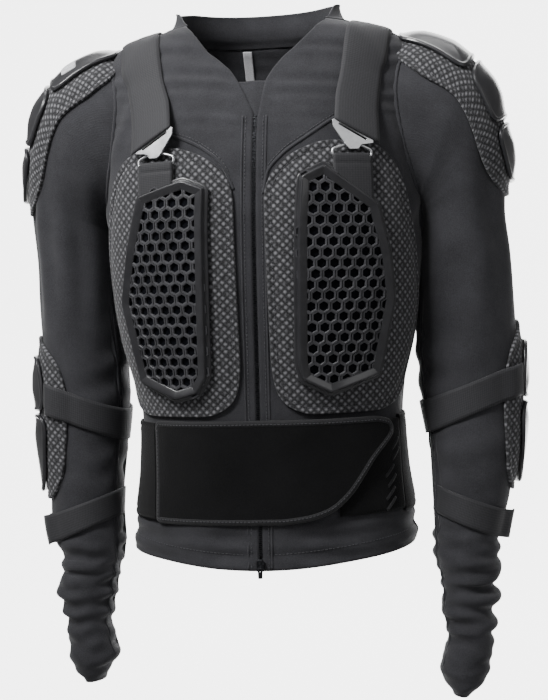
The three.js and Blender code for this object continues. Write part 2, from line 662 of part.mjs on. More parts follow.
// A thin slab where the collar is sewn to the body, a little higher at the front than at the nape.
function collarSeam(low, high) {
  const slope = Math.atan2(COLLAR_SEAM_FRONT - COLLAR_SEAM_BACK, CHEST_DEPTH / 2);
  const solid = new THREE.BoxGeometry(2 * FAR, 2 * FAR, high - low);
  solid.translate(0, 0, (high + low) / 2).rotateX(-slope).translate(0, 0, (COLLAR_SEAM_BACK + COLLAR_SEAM_FRONT) / 2);
  return fromGeometry(solid);
}

let shell = torsoOuter.subtract(torsoInner).subtract(neckCutter());
for (const side of sides) shell = shell.subtract(sleeveInner[side]);

addPiece("collar", toGeometry(largestBody(shell.subtract(collarSeam(-FAR, SEAM_GAP / 2)))), JERSEY);

const SIDE_SEAM = 6; // the side and shoulder seams lie a little behind the middle
const zipLeft = ZIP_OFFSET + ZIP_OPENING / 2;
const zipRight = ZIP_OFFSET - ZIP_OPENING / 2;
let body = shell.subtract(collarSeam(-SEAM_GAP / 2, FAR));
// A notch in the hem shows the foot of the zip.
const hemNotch = boxSolid(
  [ZIP_OFFSET - HEM_NOTCH_WIDTH / 2, -FAR, -BODY_LENGTH - OVERSHOOT],
  [ZIP_OFFSET + HEM_NOTCH_WIDTH / 2, 0, -BODY_LENGTH + HEM_NOTCH_HEIGHT],
);
body = body.subtract(hemNotch);
const cutAway = (solid, low, high) => solid.subtract(boxSolid(low, high));
const front = cutAway(body, [-FAR, SIDE_SEAM - SEAM_GAP, -FAR], [FAR, FAR, FAR]);
addPiece("back_panel", toGeometry(largestBody(cutAway(body, [-FAR, -FAR, -FAR], [FAR, SIDE_SEAM, FAR]))), JERSEY);
addPiece("front_panel_right", toGeometry(largestBody(cutAway(front, [zipRight, -FAR, -FAR], [FAR, FAR, FAR]))), JERSEY);
addPiece("front_panel_left", toGeometry(largestBody(cutAway(front, [-FAR, -FAR, -FAR], [zipLeft, FAR, FAR]))), JERSEY);

// Sleeves and cuffs

// The cloth's outside with a gap round it, which shapes the underside of whatever is sewn or laid on it.
const bodyClearance = loft(torsoRings(JERSEY_WALL + SEAM_GAP, 0));
const armClearance = {};
for (const side of sides) {
  armClearance[side] = loft(armRings(side, 0, lastArmRow, JERSEY_WALL + SEAM_GAP));
  const cuffSeam = arms[side](CUFF_ROW[side], 0).z;
  const tube = sleeveOuter[side].subtract(sleeveInner[side]);
  const upper = cutAway(tube.subtract(bodyClearance), [-FAR, -FAR, -FAR], [FAR, FAR, cuffSeam + SEAM_GAP]);
  addPiece(`sleeve_${side}`, toGeometry(largestBody(upper)), JERSEY);
  const lower = cutAway(tube, [-FAR, -FAR, cuffSeam], [FAR, FAR, FAR]);
  addPiece(`cuff_${side}`, toGeometry(largestBody(lower)), JERSEY);
}

// Patches on the torso

// A point on the torso by its distance round from the centre of the chest and its height.
function onChest(distance, height, lift) {
  const row = heightToRow(height);
  return liftTorso(row, angleAt(torsoForm, row, distance), lift);
}

const spread = (low, high, count) => Array.from({ length: count }, (_, i) => lerp(low, high, i / (count - 1)));

// 0 at a patch's border and 1 from reach inwards.
const fromBorder = (distance, reach) => smoothstep(distance, 0, reach);

const PAD_BASE = JERSEY_WALL + LAYER_GAP;
const PAD_TOP = PAD_BASE + PAD_THICKNESS;
const PAD_EDGE = 0.45; // thickness at a pad's sewn border, as a share of PAD_THICKNESS
const PAD_SHOULDER = 22; // how far in from its border a pad reaches its full thickness

// A table's width in millimetres at a height inside a flat-cut piece.
function cutWidth(table, share, inset, width) {
  const row = readRow(table, findRow(table, "down", share));
  return { near: inset + row.near * width, far: inset + row.far * width };
}

for (const side of sides) {
  const sign = armSign[side];
  const heights = CHEST_PAD.map((row) => row.down);
  const columns = 7;
  const pad = patch(heights.length, columns, (r, c, level) => {
    const { near, far } = cutWidth(CHEST_PAD, heights[r], CHEST_PAD_INSET, CHEST_PAD_WIDTH);
    const u = lerp(near, far, c / (columns - 1));
    const inwards = Math.min(u - near, far - u, heights[r] * CHEST_PAD_HEIGHT, (1 - heights[r]) * CHEST_PAD_HEIGHT);
    const thickness = PAD_THICKNESS * lerp(PAD_EDGE, 1, fromBorder(inwards, PAD_SHOULDER));
    const lift = level * (PAD_BASE + thickness);
    return onChest(sign * u, -CHEST_PAD_TOP - heights[r] * CHEST_PAD_HEIGHT, lift);
  });
  addPiece(`chest_pad_${side}`, toGeometry(largestBody(pad.subtract(bodyClearance))), PATTERNED);
}

// Chest plates: a moulded rim round a honeycomb, over a thin foam liner

const LINER_BASE = PAD_TOP + LAYER_GAP;
const FIELD_BASE = LINER_BASE + LINER_THICKNESS + 2 * LAYER_GAP;
const PLATE_ROWS = [0, 0.035, 0.07, 0.15, 0.3, 0.46, 0.62, 0.8, 0.92, 0.96, 1];

const plateWidth = (share) => cutWidth(CHEST_PLATE, share, CHEST_PLATE_INSET, CHEST_PLATE_WIDTH);
const plateHeight = (share) => -CHEST_PLATE_TOP - share * CHEST_PLATE_HEIGHT;

// The plate's height over the worn form: it rests on the pad at its edge, crests along the middle of its rim
// and dips to the honeycomb.
function plateLift(inwards) {
  const edge = LINER_BASE;
  const crest = FIELD_BASE + PLATE_RIM_RISE;
  const half = PLATE_RIM / 2;
  if (inwards < half) return lerp(edge, crest, smoothstep(inwards, 0, half));
  return lerp(crest, FIELD_BASE, smoothstep(inwards, half, PLATE_RIM));
}

function hexPrism(side, u, height) {
  const radius = HEX_ACROSS / Math.sqrt(3);
  const from = onChest(u, height, LINER_BASE - HOLE_OVERRUN);
  const to = onChest(u, height, FIELD_BASE + PLATE_RIM_RISE + PLATE_WALL + HOLE_OVERRUN);
  const prism = new THREE.CylinderGeometry(radius, radius, from.distanceTo(to), 6);
  const axis = to.clone().sub(from).normalize();
  const beside = (place) => onChest(place * (HEX_ACROSS / 2) + u, height, 0);
  const across = beside(1).sub(beside(-1)).normalize();
  const basis = new THREE.Matrix4().makeBasis(axis.clone().cross(across), axis, across);
  basis.setPosition(from.add(to).multiplyScalar(0.5));
  return fromGeometry(prism.applyMatrix4(basis));
}

for (const side of sides) {
  const sign = armSign[side];
  const inner = [0, PLATE_RIM / 2, PLATE_RIM];
  const columnsAt = ({ near, far }) => {
    const rim = Math.min(1, (far - near) / (2.4 * PLATE_RIM));
    const low = inner.map((d) => near + d * rim);
    const high = inner.map((d) => far - d * rim).reverse();
    return [...low, ...spread(low[2], high[0], 5).slice(1, 4), ...high];
  };
  const columns = PLATE_ROWS.map((share) => columnsAt(plateWidth(share)));
  const inwardsAt = (r, u) => {
    const { near, far } = plateWidth(PLATE_ROWS[r]);
    const up = Math.min(PLATE_ROWS[r], 1 - PLATE_ROWS[r]) * CHEST_PLATE_HEIGHT;
    return Math.min(u - near, far - u, up);
  };
  let plate = patch(PLATE_ROWS.length, columns[0].length, (r, c, level) => {
    const u = columns[r][c];
    return onChest(sign * u, plateHeight(PLATE_ROWS[r]), plateLift(inwardsAt(r, u)) + level * PLATE_WALL);
  });
  const hexRadius = HEX_ACROSS / Math.sqrt(3);
  const rowPitch = HEX_PITCH * Math.cos(degToRad(30));
  const rowCount = Math.floor((CHEST_PLATE_HEIGHT - 2 * (PLATE_RIM + hexRadius)) / rowPitch) + 1;
  const firstRow = (CHEST_PLATE_HEIGHT - (rowCount - 1) * rowPitch) / 2;
  const holes = [];
  const reach = Math.ceil(CHEST_PLATE_WIDTH / 2 / HEX_PITCH);
  for (let r = 0; r < rowCount; r++) {
    const down = firstRow + r * rowPitch;
    for (let c = -reach; c <= reach; c++) {
      const u = CHEST_PLATE_INSET + CHEST_PLATE_WIDTH / 2 + (c + (r % 2) / 2) * HEX_PITCH;
      const clear = [down - hexRadius, down, down + hexRadius].every((at) => {
        const { near, far } = plateWidth(at / CHEST_PLATE_HEIGHT);
        const border = PLATE_RIM - HOLE_OVERRUN + HEX_ACROSS / 2;
        return u > near + border && u < far - border;
      });
      if (clear) holes.push(hexPrism(side, sign * u, -CHEST_PLATE_TOP - down));
    }
  }
  for (const hole of holes) plate = plate.subtract(hole);
  addPiece(`chest_plate_${side}`, toGeometry(largestBody(plate)), MOULDED);

  const linerRows = [0.12, 0.22, 0.34, 0.48, 0.62, 0.76, 0.87];
  const liner = patch(linerRows.length, 6, (r, c, level) => {
    const { near, far } = plateWidth(linerRows[r]);
    const u = lerp(near + LINER_INSET, far - LINER_INSET, c / 5);
    return onChest(sign * u, plateHeight(linerRows[r]), LINER_BASE + level * LINER_THICKNESS);
  });
  addPiece(`plate_liner_${side}`, toGeometry(liner), FOAM);
}

// Kidney belt

const BELT_BASE = JERSEY_WALL + LAYER_GAP;
const FLAP_BASE = BELT_BASE + BELT_THICKNESS + 2 * LAYER_GAP;
const SIDE_END = 78; // the under-flap's free end, on the wearer's left
const SIDE_SEAM_LEFT = 158;
const FLAP_LANDING = 14; // how far before the under-flap's end the flap has climbed over it
const BELT_ROWS = [0, 0.33, 0.67, 1];
const beltHeight = (share) => -BELT_TOP - share * BELT_HEIGHT;

// The flap starts edge to edge with the band and climbs over the under-flap on its way to its free edge.
const flapLift = (u) => lerp(BELT_BASE, FLAP_BASE, smoothstep(u, 0, SIDE_END - FLAP_LANDING));

{
  const columns = 12;
  const rows = FLAP.length;
  const edge = 2 * PIPING_RADIUS;
  const flapPoint = (down, along, lift, inset) => {
    const far = readRow(FLAP, findRow(FLAP, "down", down)).far * FLAP_REACH - inset;
    const u = lerp(-FLAP_START, far, along);
    return onChest(u, beltHeight(down), flapLift(u) + lift);
  };
  const shares = FLAP.map((row) => row.down);
  const inside = (share) => lerp(edge / BELT_HEIGHT, 1 - edge / BELT_HEIGHT, share);
  const flap = patch(rows, columns, (r, c, level) =>
    flapPoint(inside(shares[r]), c / (columns - 1), level * BELT_THICKNESS, edge),
  );

  // The piping runs along the flap's top edge, round its free edge and back along the bottom.
  const route = [];
  const lift = BELT_THICKNESS / 2;
  const inset = PIPING_RADIUS;
  const top = inset / BELT_HEIGHT;
  for (const along of spread(0, 0.96, 12)) route.push(flapPoint(top, along, lift, inset));
  for (const down of [0.05, 0.1, 0.2, 0.42, 0.6, 0.76, 0.88, 0.95]) route.push(flapPoint(down, 1, lift, inset));
  for (const along of spread(0.97, 0, 10)) route.push(flapPoint(1 - top, along, lift, inset));
  const curve = new THREE.CatmullRomCurve3(route, false, "chordal");
  const tube = (radius) => {
    const section = new THREE.Shape();
    section.absarc(0, 0, radius, 0, 2 * Math.PI, false);
    const options = { steps: 34, curveSegments: 3, bevelEnabled: false, extrudePath: curve };
    return fromGeometry(new THREE.ExtrudeGeometry(section, options));
  };
  addPiece("belt_flap", toGeometry(largestBody(flap.subtract(tube(PIPING_RADIUS + SEAM_GAP)))), BELT_CLOTH);
  addPiece("belt_piping", toGeometry(tube(PIPING_RADIUS)), BINDING);
}

// The band round the back, from the flap's seam to the seam on the wearer's left side.
function bandAngles(height, from, to, count) {
  const row = heightToRow(height);
  const low = angleAt(torsoForm, row, from);
  const high = to < 0 ? 2 * Math.PI + angleAt(torsoForm, row, to) : angleAt(torsoForm, row, to);
  return spread(low, high, count);
}

const bandPatch = (from, to, count, inset) =>
  patch(BELT_ROWS.length, count, (r, c, level) => {
    const share = lerp(inset, 1 - inset, BELT_ROWS[r]);
    const height = beltHeight(share);
    const angle = bandAngles(height, from, to, count)[c];
    return liftTorso(heightToRow(height), angle, level * (BELT_BASE + BELT_THICKNESS));
  }).subtract(bodyClearance);

const beltBack = bandPatch(SIDE_SEAM_LEFT, -FLAP_START - SEAM_GAP, 20, 0.02);
addPiece("belt_back", toGeometry(largestBody(beltBack)), BELT_CLOTH);

{
  // The under-flap is an elastic panel with slanting ribs.
  let panel = bandPatch(SIDE_END, SIDE_SEAM_LEFT - SEAM_GAP, 6, 0.05);
  const slant = degToRad(RIB_DEGREES);
  for (const { down, u } of UNDER_FLAP_RIBS) {
    const middle = RIB_LENGTH / 2;
    const rib = patch(3, 2, (r, c, level) => {
      const along = lerp(-middle, middle, r / 2);
      const across = lerp(-RIB_WIDTH / 2, RIB_WIDTH / 2, c);
      const x = along * Math.cos(slant) - across * Math.sin(slant);
      const z = along * Math.sin(slant) + across * Math.cos(slant);
      const lift = BELT_BASE + lerp(RIB_ROOT, BELT_THICKNESS + RIB_RISE, level);
      return onChest(u * FLAP_REACH + x, beltHeight(down) + z, lift);
    });
    panel = panel.add(rib);
  }
  addPiece("belt_under_flap", toGeometry(largestBody(panel)), BELT_CLOTH);
}

// Shoulder straps

// A point on the torso by its place: across and height on the front or back, or across and depth on top.
function onTorso(face, x, place, lift) {
  if (face === "top") {
    const angle = Math.atan2(x, -place);
    const reach = Math.hypot(x, place);
    let [low, high] = [1, 12];
    for (let step = 0; step < 30; step++) {
      const middle = (low + high) / 2;
      const point = torsoForm(middle, angle);
      if (Math.hypot(point.x, point.y) < reach) low = middle;
      else high = middle;
    }
    return liftTorso(low, angle, lift);
  }
  const row = heightToRow(-place);
  let [low, high] = face === "front" ? [0, Math.PI / 2] : [Math.PI, Math.PI / 2];
  for (let step = 0; step < 30; step++) {
    const middle = (low + high) / 2;
    if (torsoForm(row, middle).x < Math.abs(x)) low = middle;
    else high = middle;
  }
  return liftTorso(row, Math.sign(x) * low, lift);
}

const STRAP_BASE = JERSEY_WALL + LAYER_GAP;
const RING_BASE = PAD_TOP + RING_CLEARANCE;
const BUCKLE_LIFT = 2 * WIRE_RADIUS + METAL_GAP; // the plate lies over the ring
const STRAP_END = RING_BASE + BUCKLE_LIFT - TUCK_CLEARANCE - STRAP_THICKNESS; // the strap ends under the plate
const strapReach = { front: STRAP_FRONT_DROP, top: STRAP_TOP_DEPTH, back: BELT_TOP };

for (const side of sides) {
  const sign = armSign[side];
  const strap = patch(STRAP_ROUTE.length, 3, (r, c, level) => {
    const { face, across, place } = STRAP_ROUTE[r];
    const x = across * STRAP_SPREAD + (c - 1) * (STRAP_WIDTH / 2);
    const base = r === 0 ? STRAP_END : STRAP_BASE;
    const lift = r === 0 ? base + level * STRAP_THICKNESS : level * (base + STRAP_THICKNESS);
    return onTorso(face, sign * x, place * strapReach[face], lift);
  });
  addPiece(`shoulder_strap_${side}`, toGeometry(largestBody(strap.subtract(bodyClearance))), WEBBING);
}

// Buckles: a three-cornered plate, a wire ring and the webbing tab that holds the ring

for (const side of sides) {
  const sign = armSign[side];
  const centre = STRAP_ROUTE[0].across * STRAP_SPREAD;
  // A frame lying on the chest: x runs outwards, y upwards and z away from the body.
  const spot = (x, drop) => onTorso("front", sign * x, drop, RING_BASE);
  const origin = spot(centre, BUCKLE_TOP);
  const up = origin.clone().sub(spot(centre, BUCKLE_TOP + BUCKLE_LENGTH)).normalize();
  const beside = (place) => spot(centre + (place * BUCKLE_LENGTH) / 4, BUCKLE_TOP);
  const right = beside(1).sub(beside(-1)).multiplyScalar(sign);
  const away = right.cross(up).normalize();
  const frame = new THREE.Matrix4().makeBasis(up.clone().cross(away), up, away).setPosition(origin);

  const half = BUCKLE_LENGTH / 2;
  const corners = [
    [-half, 0],
    [-0.425 * BUCKLE_LENGTH, 0.074 * BUCKLE_HEIGHT],
    [half, -0.62 * BUCKLE_HEIGHT],
    [0.475 * BUCKLE_LENGTH, -0.75 * BUCKLE_HEIGHT],
    [0.1 * BUCKLE_LENGTH, -BUCKLE_HEIGHT],
    [-0.02 * BUCKLE_LENGTH, -0.95 * BUCKLE_HEIGHT],
    [-half, -0.12 * BUCKLE_HEIGHT],
  ];
  const slot = [
    [-0.36 * BUCKLE_LENGTH, -0.24 * BUCKLE_HEIGHT],
    [0.33 * BUCKLE_LENGTH, -0.74 * BUCKLE_HEIGHT],
    [0.38 * BUCKLE_LENGTH, -0.66 * BUCKLE_HEIGHT],
    [-0.36 * BUCKLE_LENGTH, -0.12 * BUCKLE_HEIGHT],
  ];
  const outline = new THREE.Shape(corners.map(([x, y]) => new THREE.Vector2(x, y)));
  outline.holes.push(new THREE.Path(slot.map(([x, y]) => new THREE.Vector2(x, y))));
  const plate = new THREE.ExtrudeGeometry(outline, { depth: BUCKLE_THICKNESS, bevelEnabled: false });
  plate.translate(0, 0, BUCKLE_LIFT).scale(sign, 1, 1);

  // The ring's closed route: its upper bar lies behind the plate's foot and its lower bar in the tab's fold.
  const tabHalf = TAB_WIDTH / 2;
  const ringSide = tabHalf + 2 * WIRE_RADIUS;
  const barDrop = -BUCKLE_HEIGHT - 4 * WIRE_RADIUS;
  const ringTop = -BUCKLE_HEIGHT * 0.78;
  const ringRoute = [
    [-0.06 * BUCKLE_LENGTH, ringTop],
    [-ringSide, 0.5 * (ringTop + barDrop)],
    [-ringSide, barDrop],
    [ringSide, barDrop],
    [ringSide, 0.5 * (ringTop + barDrop)],
    [0.14 * BUCKLE_LENGTH, ringTop],
  ].map(([x, y]) => vec(sign * x, y, WIRE_RADIUS));
  const ringCurve = new THREE.CatmullRomCurve3(ringRoute, true, "catmullrom", 0.12);
  const wire = (radius) => {
    const { points, faces } = wireRing(ringCurve, radius, 22, 5);
    return toSolid(points.map((point) => point.applyMatrix4(frame)), faces);
  };
  addPiece(`buckle_plate_${side}`, toGeometry(fromGeometry(plate.applyMatrix4(frame))), STEEL);
  addPiece(`buckle_ring_${side}`, toGeometry(wire(WIRE_RADIUS)), STEEL);

  // The tab runs from just above the ring's bar down to the chest plate's upper edge.
  const tabTop = -BUCKLE_TOP + barDrop + 2.4 * WIRE_RADIUS;
  const plateEdge = CHEST_PLATE.slice(0, 4).map((row) => {
    const height = plateHeight(row.down);
    return { x: onChest(CHEST_PLATE_INSET + row.far * CHEST_PLATE_WIDTH, height, PAD_TOP).x, height };
  });
  const tab = patch(4, 4, (r, c, level) => {
    const x = centre + lerp(-tabHalf, tabHalf, c / 3);
    const foot = readRow(plateEdge, findRow(plateEdge, "x", x)).height + LAYER_GAP;
    return onTorso("front", sign * x, -lerp(tabTop, foot, r / 3), PAD_TOP + SEAM_GAP + level * TAB_THICKNESS);
  });
  addPiece(`buckle_tab_${side}`, toGeometry(largestBody(tab.subtract(wire(WIRE_RADIUS + METAL_GAP)))), WEBBING);
}

// Shoulder and elbow armour

// A point on an arm by its distance down the outer line and its distance round from a centre angle.
function onArm(side, row, centre, distance, lift) {
  const form = (r, a) => arms[side](r, a + centre);
  return liftArm(side, row, centre + angleAt(form, row, distance), lift);
}

// Fills a pad's rows: the outline table against rows down the arm.
function armPad(side, table, top, length, width, centre, columns) {
  const rows = table.map((row) => rowAlong(side, top + row.along * length));
  return patch(table.length, columns, (r, c, level) => {
    const row = table[r];
    const u = lerp(-row.back, row.front, c / (columns - 1)) * (width / 2);
    const ends = Math.min(row.along, 1 - row.along) * length;
    const inwards = Math.min(ends, u + (row.back * width) / 2, (row.front * width) / 2 - u);
    const thickness = PAD_THICKNESS * lerp(PAD_EDGE, 1, fromBorder(inwards, PAD_SHOULDER));
    return onArm(side, rows[r], centre, u, level * (PAD_BASE + thickness));
  }).subtract(armClearance[side]);
}

// A moulded shell over a pad, with a raised middle and rounded corners.
function armCap(side, cap, top, length, width, centre) {
  const profile = [
    { along: 0, share: 0.78 },
    { along: 0.12, share: 1 },
    { along: 0.5, share: 1 },
    { along: 0.88, share: 1 },
    { along: 1, share: 0.8 },
  ];
  const rows = profile.map((row) => rowAlong(side, top + lerp(cap.start, cap.end, row.along) * length));
  const columns = 7;
  return patch(profile.length, columns, (r, c, level) => {
    const { along, share } = profile[r];
    const half = (lerp(cap.neckWidth, cap.armWidth, along) * share * width) / 2;
    const u = lerp(-half, half, c / (columns - 1));
    const inwards = Math.min(half - Math.abs(u), Math.min(along, 1 - along) * (cap.end - cap.start) * length);
    const crown = CAP_CROWN * fromBorder(inwards, CAP_SLOPE);
    return onArm(side, rows[r], centre, u, CAP_BASE + crown + level * CAP_WALL);
  });
}

const CAP_BASE = PAD_TOP + CAP_SEAT;
const CAP_SLOPE = 12; // how far in from its edge a shell reaches its crown

// Distance down the outer line to a height.
function distanceTo(side, height) {
  const rows = armRows(side).slice(SHOULDER_SECTIONS.length);
  const target = SHOULDER_SECTIONS.length + findRow(rows, "height", height);
  let [row, walked] = [ARMHOLE_ROW, 0];
  const step = 0.05;
  while (row < target) {
    walked += arms[side](row + step, 0).distanceTo(arms[side](row, 0));
    row += step;
  }
  return walked;
}

for (const side of sides) {
  const pad = armPad(side, SHOULDER_PAD, 0, SHOULDER_PAD_LENGTH, SHOULDER_PAD_WIDTH, 0, 7);
  addPiece(`shoulder_pad_${side}`, toGeometry(largestBody(pad.subtract(bodyClearance))), PATTERNED);
  for (const cap of SHOULDER_CAPS) {
    const shellCap = armCap(side, cap, 0, SHOULDER_PAD_LENGTH, SHOULDER_CAP_WIDTH, 0);
    addPiece(`shoulder_shell_${cap.name}_${side}`, toGeometry(shellCap), MOULDED);
  }
  const top = distanceTo(side, -ELBOW_PAD_TOP);
  const turn = -degToRad(ELBOW_DEGREES[side]);
  const elbow = armPad(side, ELBOW_PAD, top, ELBOW_PAD_LENGTH, ELBOW_PAD_WIDTH, turn, 7);
  addPiece(`elbow_pad_${side}`, toGeometry(largestBody(elbow)), PATTERNED);
  for (const cap of ELBOW_CAPS) {
    const shellCap = armCap(side, cap, top, ELBOW_PAD_LENGTH, ELBOW_CAP_WIDTH, turn);
    addPiece(`elbow_shell_${cap.name}_${side}`, toGeometry(shellCap), MOULDED);
  }
}

// Arm straps, from the pad's front border round the inner side of the arm to its back border

for (const side of sides) {
  const rows = armRows(side);
  const lower = rows.slice(SHOULDER_SECTIONS.length);
  const rowAt = (height) => SHOULDER_SECTIONS.length + findRow(lower, "height", height);
  const turn = -degToRad(ELBOW_DEGREES[side]);
  const padTop = distanceTo(side, -ELBOW_PAD_TOP);
  for (const strap of ARM_STRAPS) {
    const middleRow = rowAt(-strap.outer * SLEEVE_DROP);
    const share = (distanceTo(side, -strap.outer * SLEEVE_DROP) - padTop) / ELBOW_PAD_LENGTH;
    const edge = readRow(ELBOW_PAD, findRow(ELBOW_PAD, "along", share));
    const clear = (edge.front * ELBOW_PAD_WIDTH) / 2 + STRAP_CLEARANCE;
    const form = (r, a) => arms[side](r, a + turn);
    const start = turn + angleAt(form, middleRow, clear);
    const end = 2 * Math.PI + turn - (start - turn);
    const count = 12;
    const band = patch(3, count, (r, c, level) => {
      const angle = lerp(start, end, c / (count - 1));
      const middle = lerp(strap.outer, strap.inner, (1 - Math.cos(angle)) / 2) * SLEEVE_DROP;
      const row = rowAt(-middle - (r - 1) * (strap.width / 2));
      return liftArm(side, row, angle, level * (STRAP_BASE + STRAP_THICKNESS));
    });
    addPiece(`${strap.name}_strap_${side}`, toGeometry(largestBody(band.subtract(armClearance[side]))), WEBBING);
  }
}

// Front closing, neck label

{
  // The garage is a cloth triangle over the bottom of the neck opening.
  const top = -NECK_V_DEPTH + GARAGE_HEIGHT * 0.3;
  const garage = patch(5, 4, (r, c, level) => {
    const half = lerp(GARAGE_WIDTH / 2, GARAGE_WIDTH / 8, r / 4);
    const u = ZIP_OFFSET * 0.4 + lerp(-half, half, c / 3);
    return onChest(u, top - (r / 4) * GARAGE_HEIGHT, PAD_BASE + level * STRAP_THICKNESS);
  });
  addPiece("zip_garage", toGeometry(garage), JERSEY);

  const zipTop = -NECK_V_DEPTH - ZIP_START;
  const chainHeights = spread(zipTop, -BODY_LENGTH + ZIP_BOX_HEIGHT + SEAM_GAP, 16);
  const chain = patch(chainHeights.length, 2, (r, c, level) => {
    const half = ZIP_OPENING / 2 - SEAM_GAP;
    return onChest(ZIP_OFFSET + lerp(-half, half, c), chainHeights[r], lerp(-SEAM_GAP, JERSEY_WALL + SEAM_GAP, level));
  });
  addPiece("zip_chain", toGeometry(chain), DARK_METAL);

  const tapeHeights = spread(zipTop, -BODY_LENGTH + HEM_NOTCH_HEIGHT + ZIP_TAPE_END, 16);
  const tape = patch(tapeHeights.length, 3, (r, c, level) => {
    const u = ZIP_OFFSET + (c - 1) * (ZIP_TAPE_WIDTH / 2);
    return onChest(u, tapeHeights[r], lerp(-ZIP_TAPE_THICKNESS, 0, level) - ZIP_TAPE_DROP);
  });
  addPiece("zip_tape", toGeometry(tape), WEBBING);

  const boxLift = JERSEY_WALL + LAYER_GAP + ZIP_BOX_DEPTH / 2;
  const box = onChest(ZIP_OFFSET, -BODY_LENGTH + ZIP_BOX_HEIGHT / 2, boxLift);
  const boxGeometry = new THREE.BoxGeometry(ZIP_BOX_WIDTH, ZIP_BOX_DEPTH, ZIP_BOX_HEIGHT).translate(...box.toArray());
  addPiece("zip_slider", boxGeometry, DARK_METAL);
}

{
  const label = patch(5, 2, (r, c, level) => {
    const height = COLLAR_SEAM_BACK - LABEL_DROP - (r / 4) * LABEL_LENGTH;
    const x = -LABEL_OFFSET + lerp(-LABEL_WIDTH / 2, LABEL_WIDTH / 2, c);
    return onTorso("back", x, -height, -LABEL_GAP - lerp(LABEL_THICKNESS, 0, level));
  });
  addPiece("neck_label", toGeometry(label), LABEL_CLOTH);
}

export default jacket;
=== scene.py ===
"""A long-sleeved motorcycle armour jacket in its worn shape, dressed over its solid model."""

import json
import math

import bmesh
import bpy
import numpy as np
from mathutils import Matrix, Vector

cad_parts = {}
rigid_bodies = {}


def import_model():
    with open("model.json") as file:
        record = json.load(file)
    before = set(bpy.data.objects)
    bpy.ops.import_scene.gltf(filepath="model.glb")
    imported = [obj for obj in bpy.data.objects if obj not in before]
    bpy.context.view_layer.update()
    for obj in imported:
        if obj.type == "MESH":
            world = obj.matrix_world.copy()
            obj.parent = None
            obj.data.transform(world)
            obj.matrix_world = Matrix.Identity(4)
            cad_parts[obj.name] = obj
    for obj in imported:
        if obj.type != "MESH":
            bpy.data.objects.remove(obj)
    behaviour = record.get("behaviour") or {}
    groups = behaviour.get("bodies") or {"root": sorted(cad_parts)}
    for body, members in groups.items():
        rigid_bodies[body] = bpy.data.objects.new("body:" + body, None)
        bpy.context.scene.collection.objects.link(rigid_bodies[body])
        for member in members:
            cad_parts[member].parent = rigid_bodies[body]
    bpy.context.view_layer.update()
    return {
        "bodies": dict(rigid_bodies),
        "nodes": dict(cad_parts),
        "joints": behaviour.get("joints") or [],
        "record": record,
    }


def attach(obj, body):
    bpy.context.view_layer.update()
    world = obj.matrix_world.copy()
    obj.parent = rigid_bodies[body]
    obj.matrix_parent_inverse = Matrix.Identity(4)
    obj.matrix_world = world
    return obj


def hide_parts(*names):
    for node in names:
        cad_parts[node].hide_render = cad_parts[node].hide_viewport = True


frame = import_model()

bl_info = {
    "name": "Motorcycle armour jacket",
    "version": (1, 0, 0),
    "blender": (4, 5, 0),
    "location": "View3D > Sidebar > Armour jacket",
    "description": "Builds the cloth, pads, shells, straps and belt of an armour jacket",
    "category": "Add Mesh",
}

MM = 0.001
SIDES = {"right": -1, "left": 1}  # the wearer's arms lie on -X and +X

# Worn form, in millimetres, as the solid model has it
BODY_LENGTH = 546
COLLAR_HEIGHT = 38
CHEST_WIDTH = 332
CHEST_DEPTH = 226
SLEEVE_DROP = 682
ARM_SPREAD = 206
SLEEVE_WIDTH = 100
SLEEVE_DEPTH = 104
ARMHOLE_HEIGHT = 172
HAND_FORWARD = 46
JERSEY_WALL = 2
NECK_V_DEPTH = 52
ZIP_OPENING = 3.4
CHEST_PAD_HEIGHT = 271
CHEST_PAD_WIDTH = 181
CHEST_PAD_TOP = 120
CHEST_PAD_INSET = 15
SHOULDER_PAD_LENGTH = 232
SHOULDER_PAD_WIDTH = 150
SHOULDER_CAP_WIDTH = 104
ELBOW_PAD_LENGTH = 178
ELBOW_PAD_WIDTH = 128
ELBOW_CAP_WIDTH = 88
ELBOW_PAD_TOP = 305
ELBOW_TURN = {"right": -4, "left": 22}
STRAP_FRONT_DROP = 109
STRAP_TOP_DEPTH = 50
STRAP_SPREAD = 121
BELT_HEIGHT = 104
BELT_TOP = 396
FLAP_REACH = 138
FLAP_START = 116
HEM_RISE = 13  # how much higher the hem hangs at the sides
PAD_LIFT = 2.9  # a pad's underside, over the worn form
PAD_FULL = 8.9  # a pad's fullest height, over the worn form

TORSO = {
    "up": [1.0, 0.64, 0.35, 0.21, 0.07, 0, 0, 0, 0, 0, 0, 0, 0, 0, 0, 0, 0, 0, 0],
    "down": [
        0, 0, 0, 0, 0, 0.006, 0.022, 0.051, 0.095, 0.174, 0.266, 0.366, 0.467, 0.568, 0.659, 0.742,
        0.824, 0.916, 1.0,
    ],
    "wide": [
        0.506, 0.518, 0.554, 0.639, 0.753, 0.855, 0.934, 0.982, 1.0, 1.006, 1.0, 0.988, 0.964, 0.916,
        0.846, 0.819, 0.831, 0.873, 0.91,
    ],
    "front": [
        0.442, 0.451, 0.478, 0.504, 0.531, 0.558, 0.593, 0.646, 0.735, 0.876, 0.973, 1.009, 0.991,
        0.947, 0.903, 0.885, 0.894, 0.929, 0.965,
    ],
    "back": [
        0.531, 0.54, 0.566, 0.593, 0.619, 0.646, 0.69, 0.752, 0.832, 0.929, 0.982, 0.982, 0.947,
        0.885, 0.85, 0.832, 0.858, 0.912, 0.956,
    ],
    "round": [
        2.1, 2.1, 2.1, 2.15, 2.2, 2.25, 2.3, 2.35, 2.4, 2.4, 2.4, 2.4, 2.35, 2.3, 2.3, 2.3, 2.3, 2.3, 2.3,
    ],
}  # fmt: skip
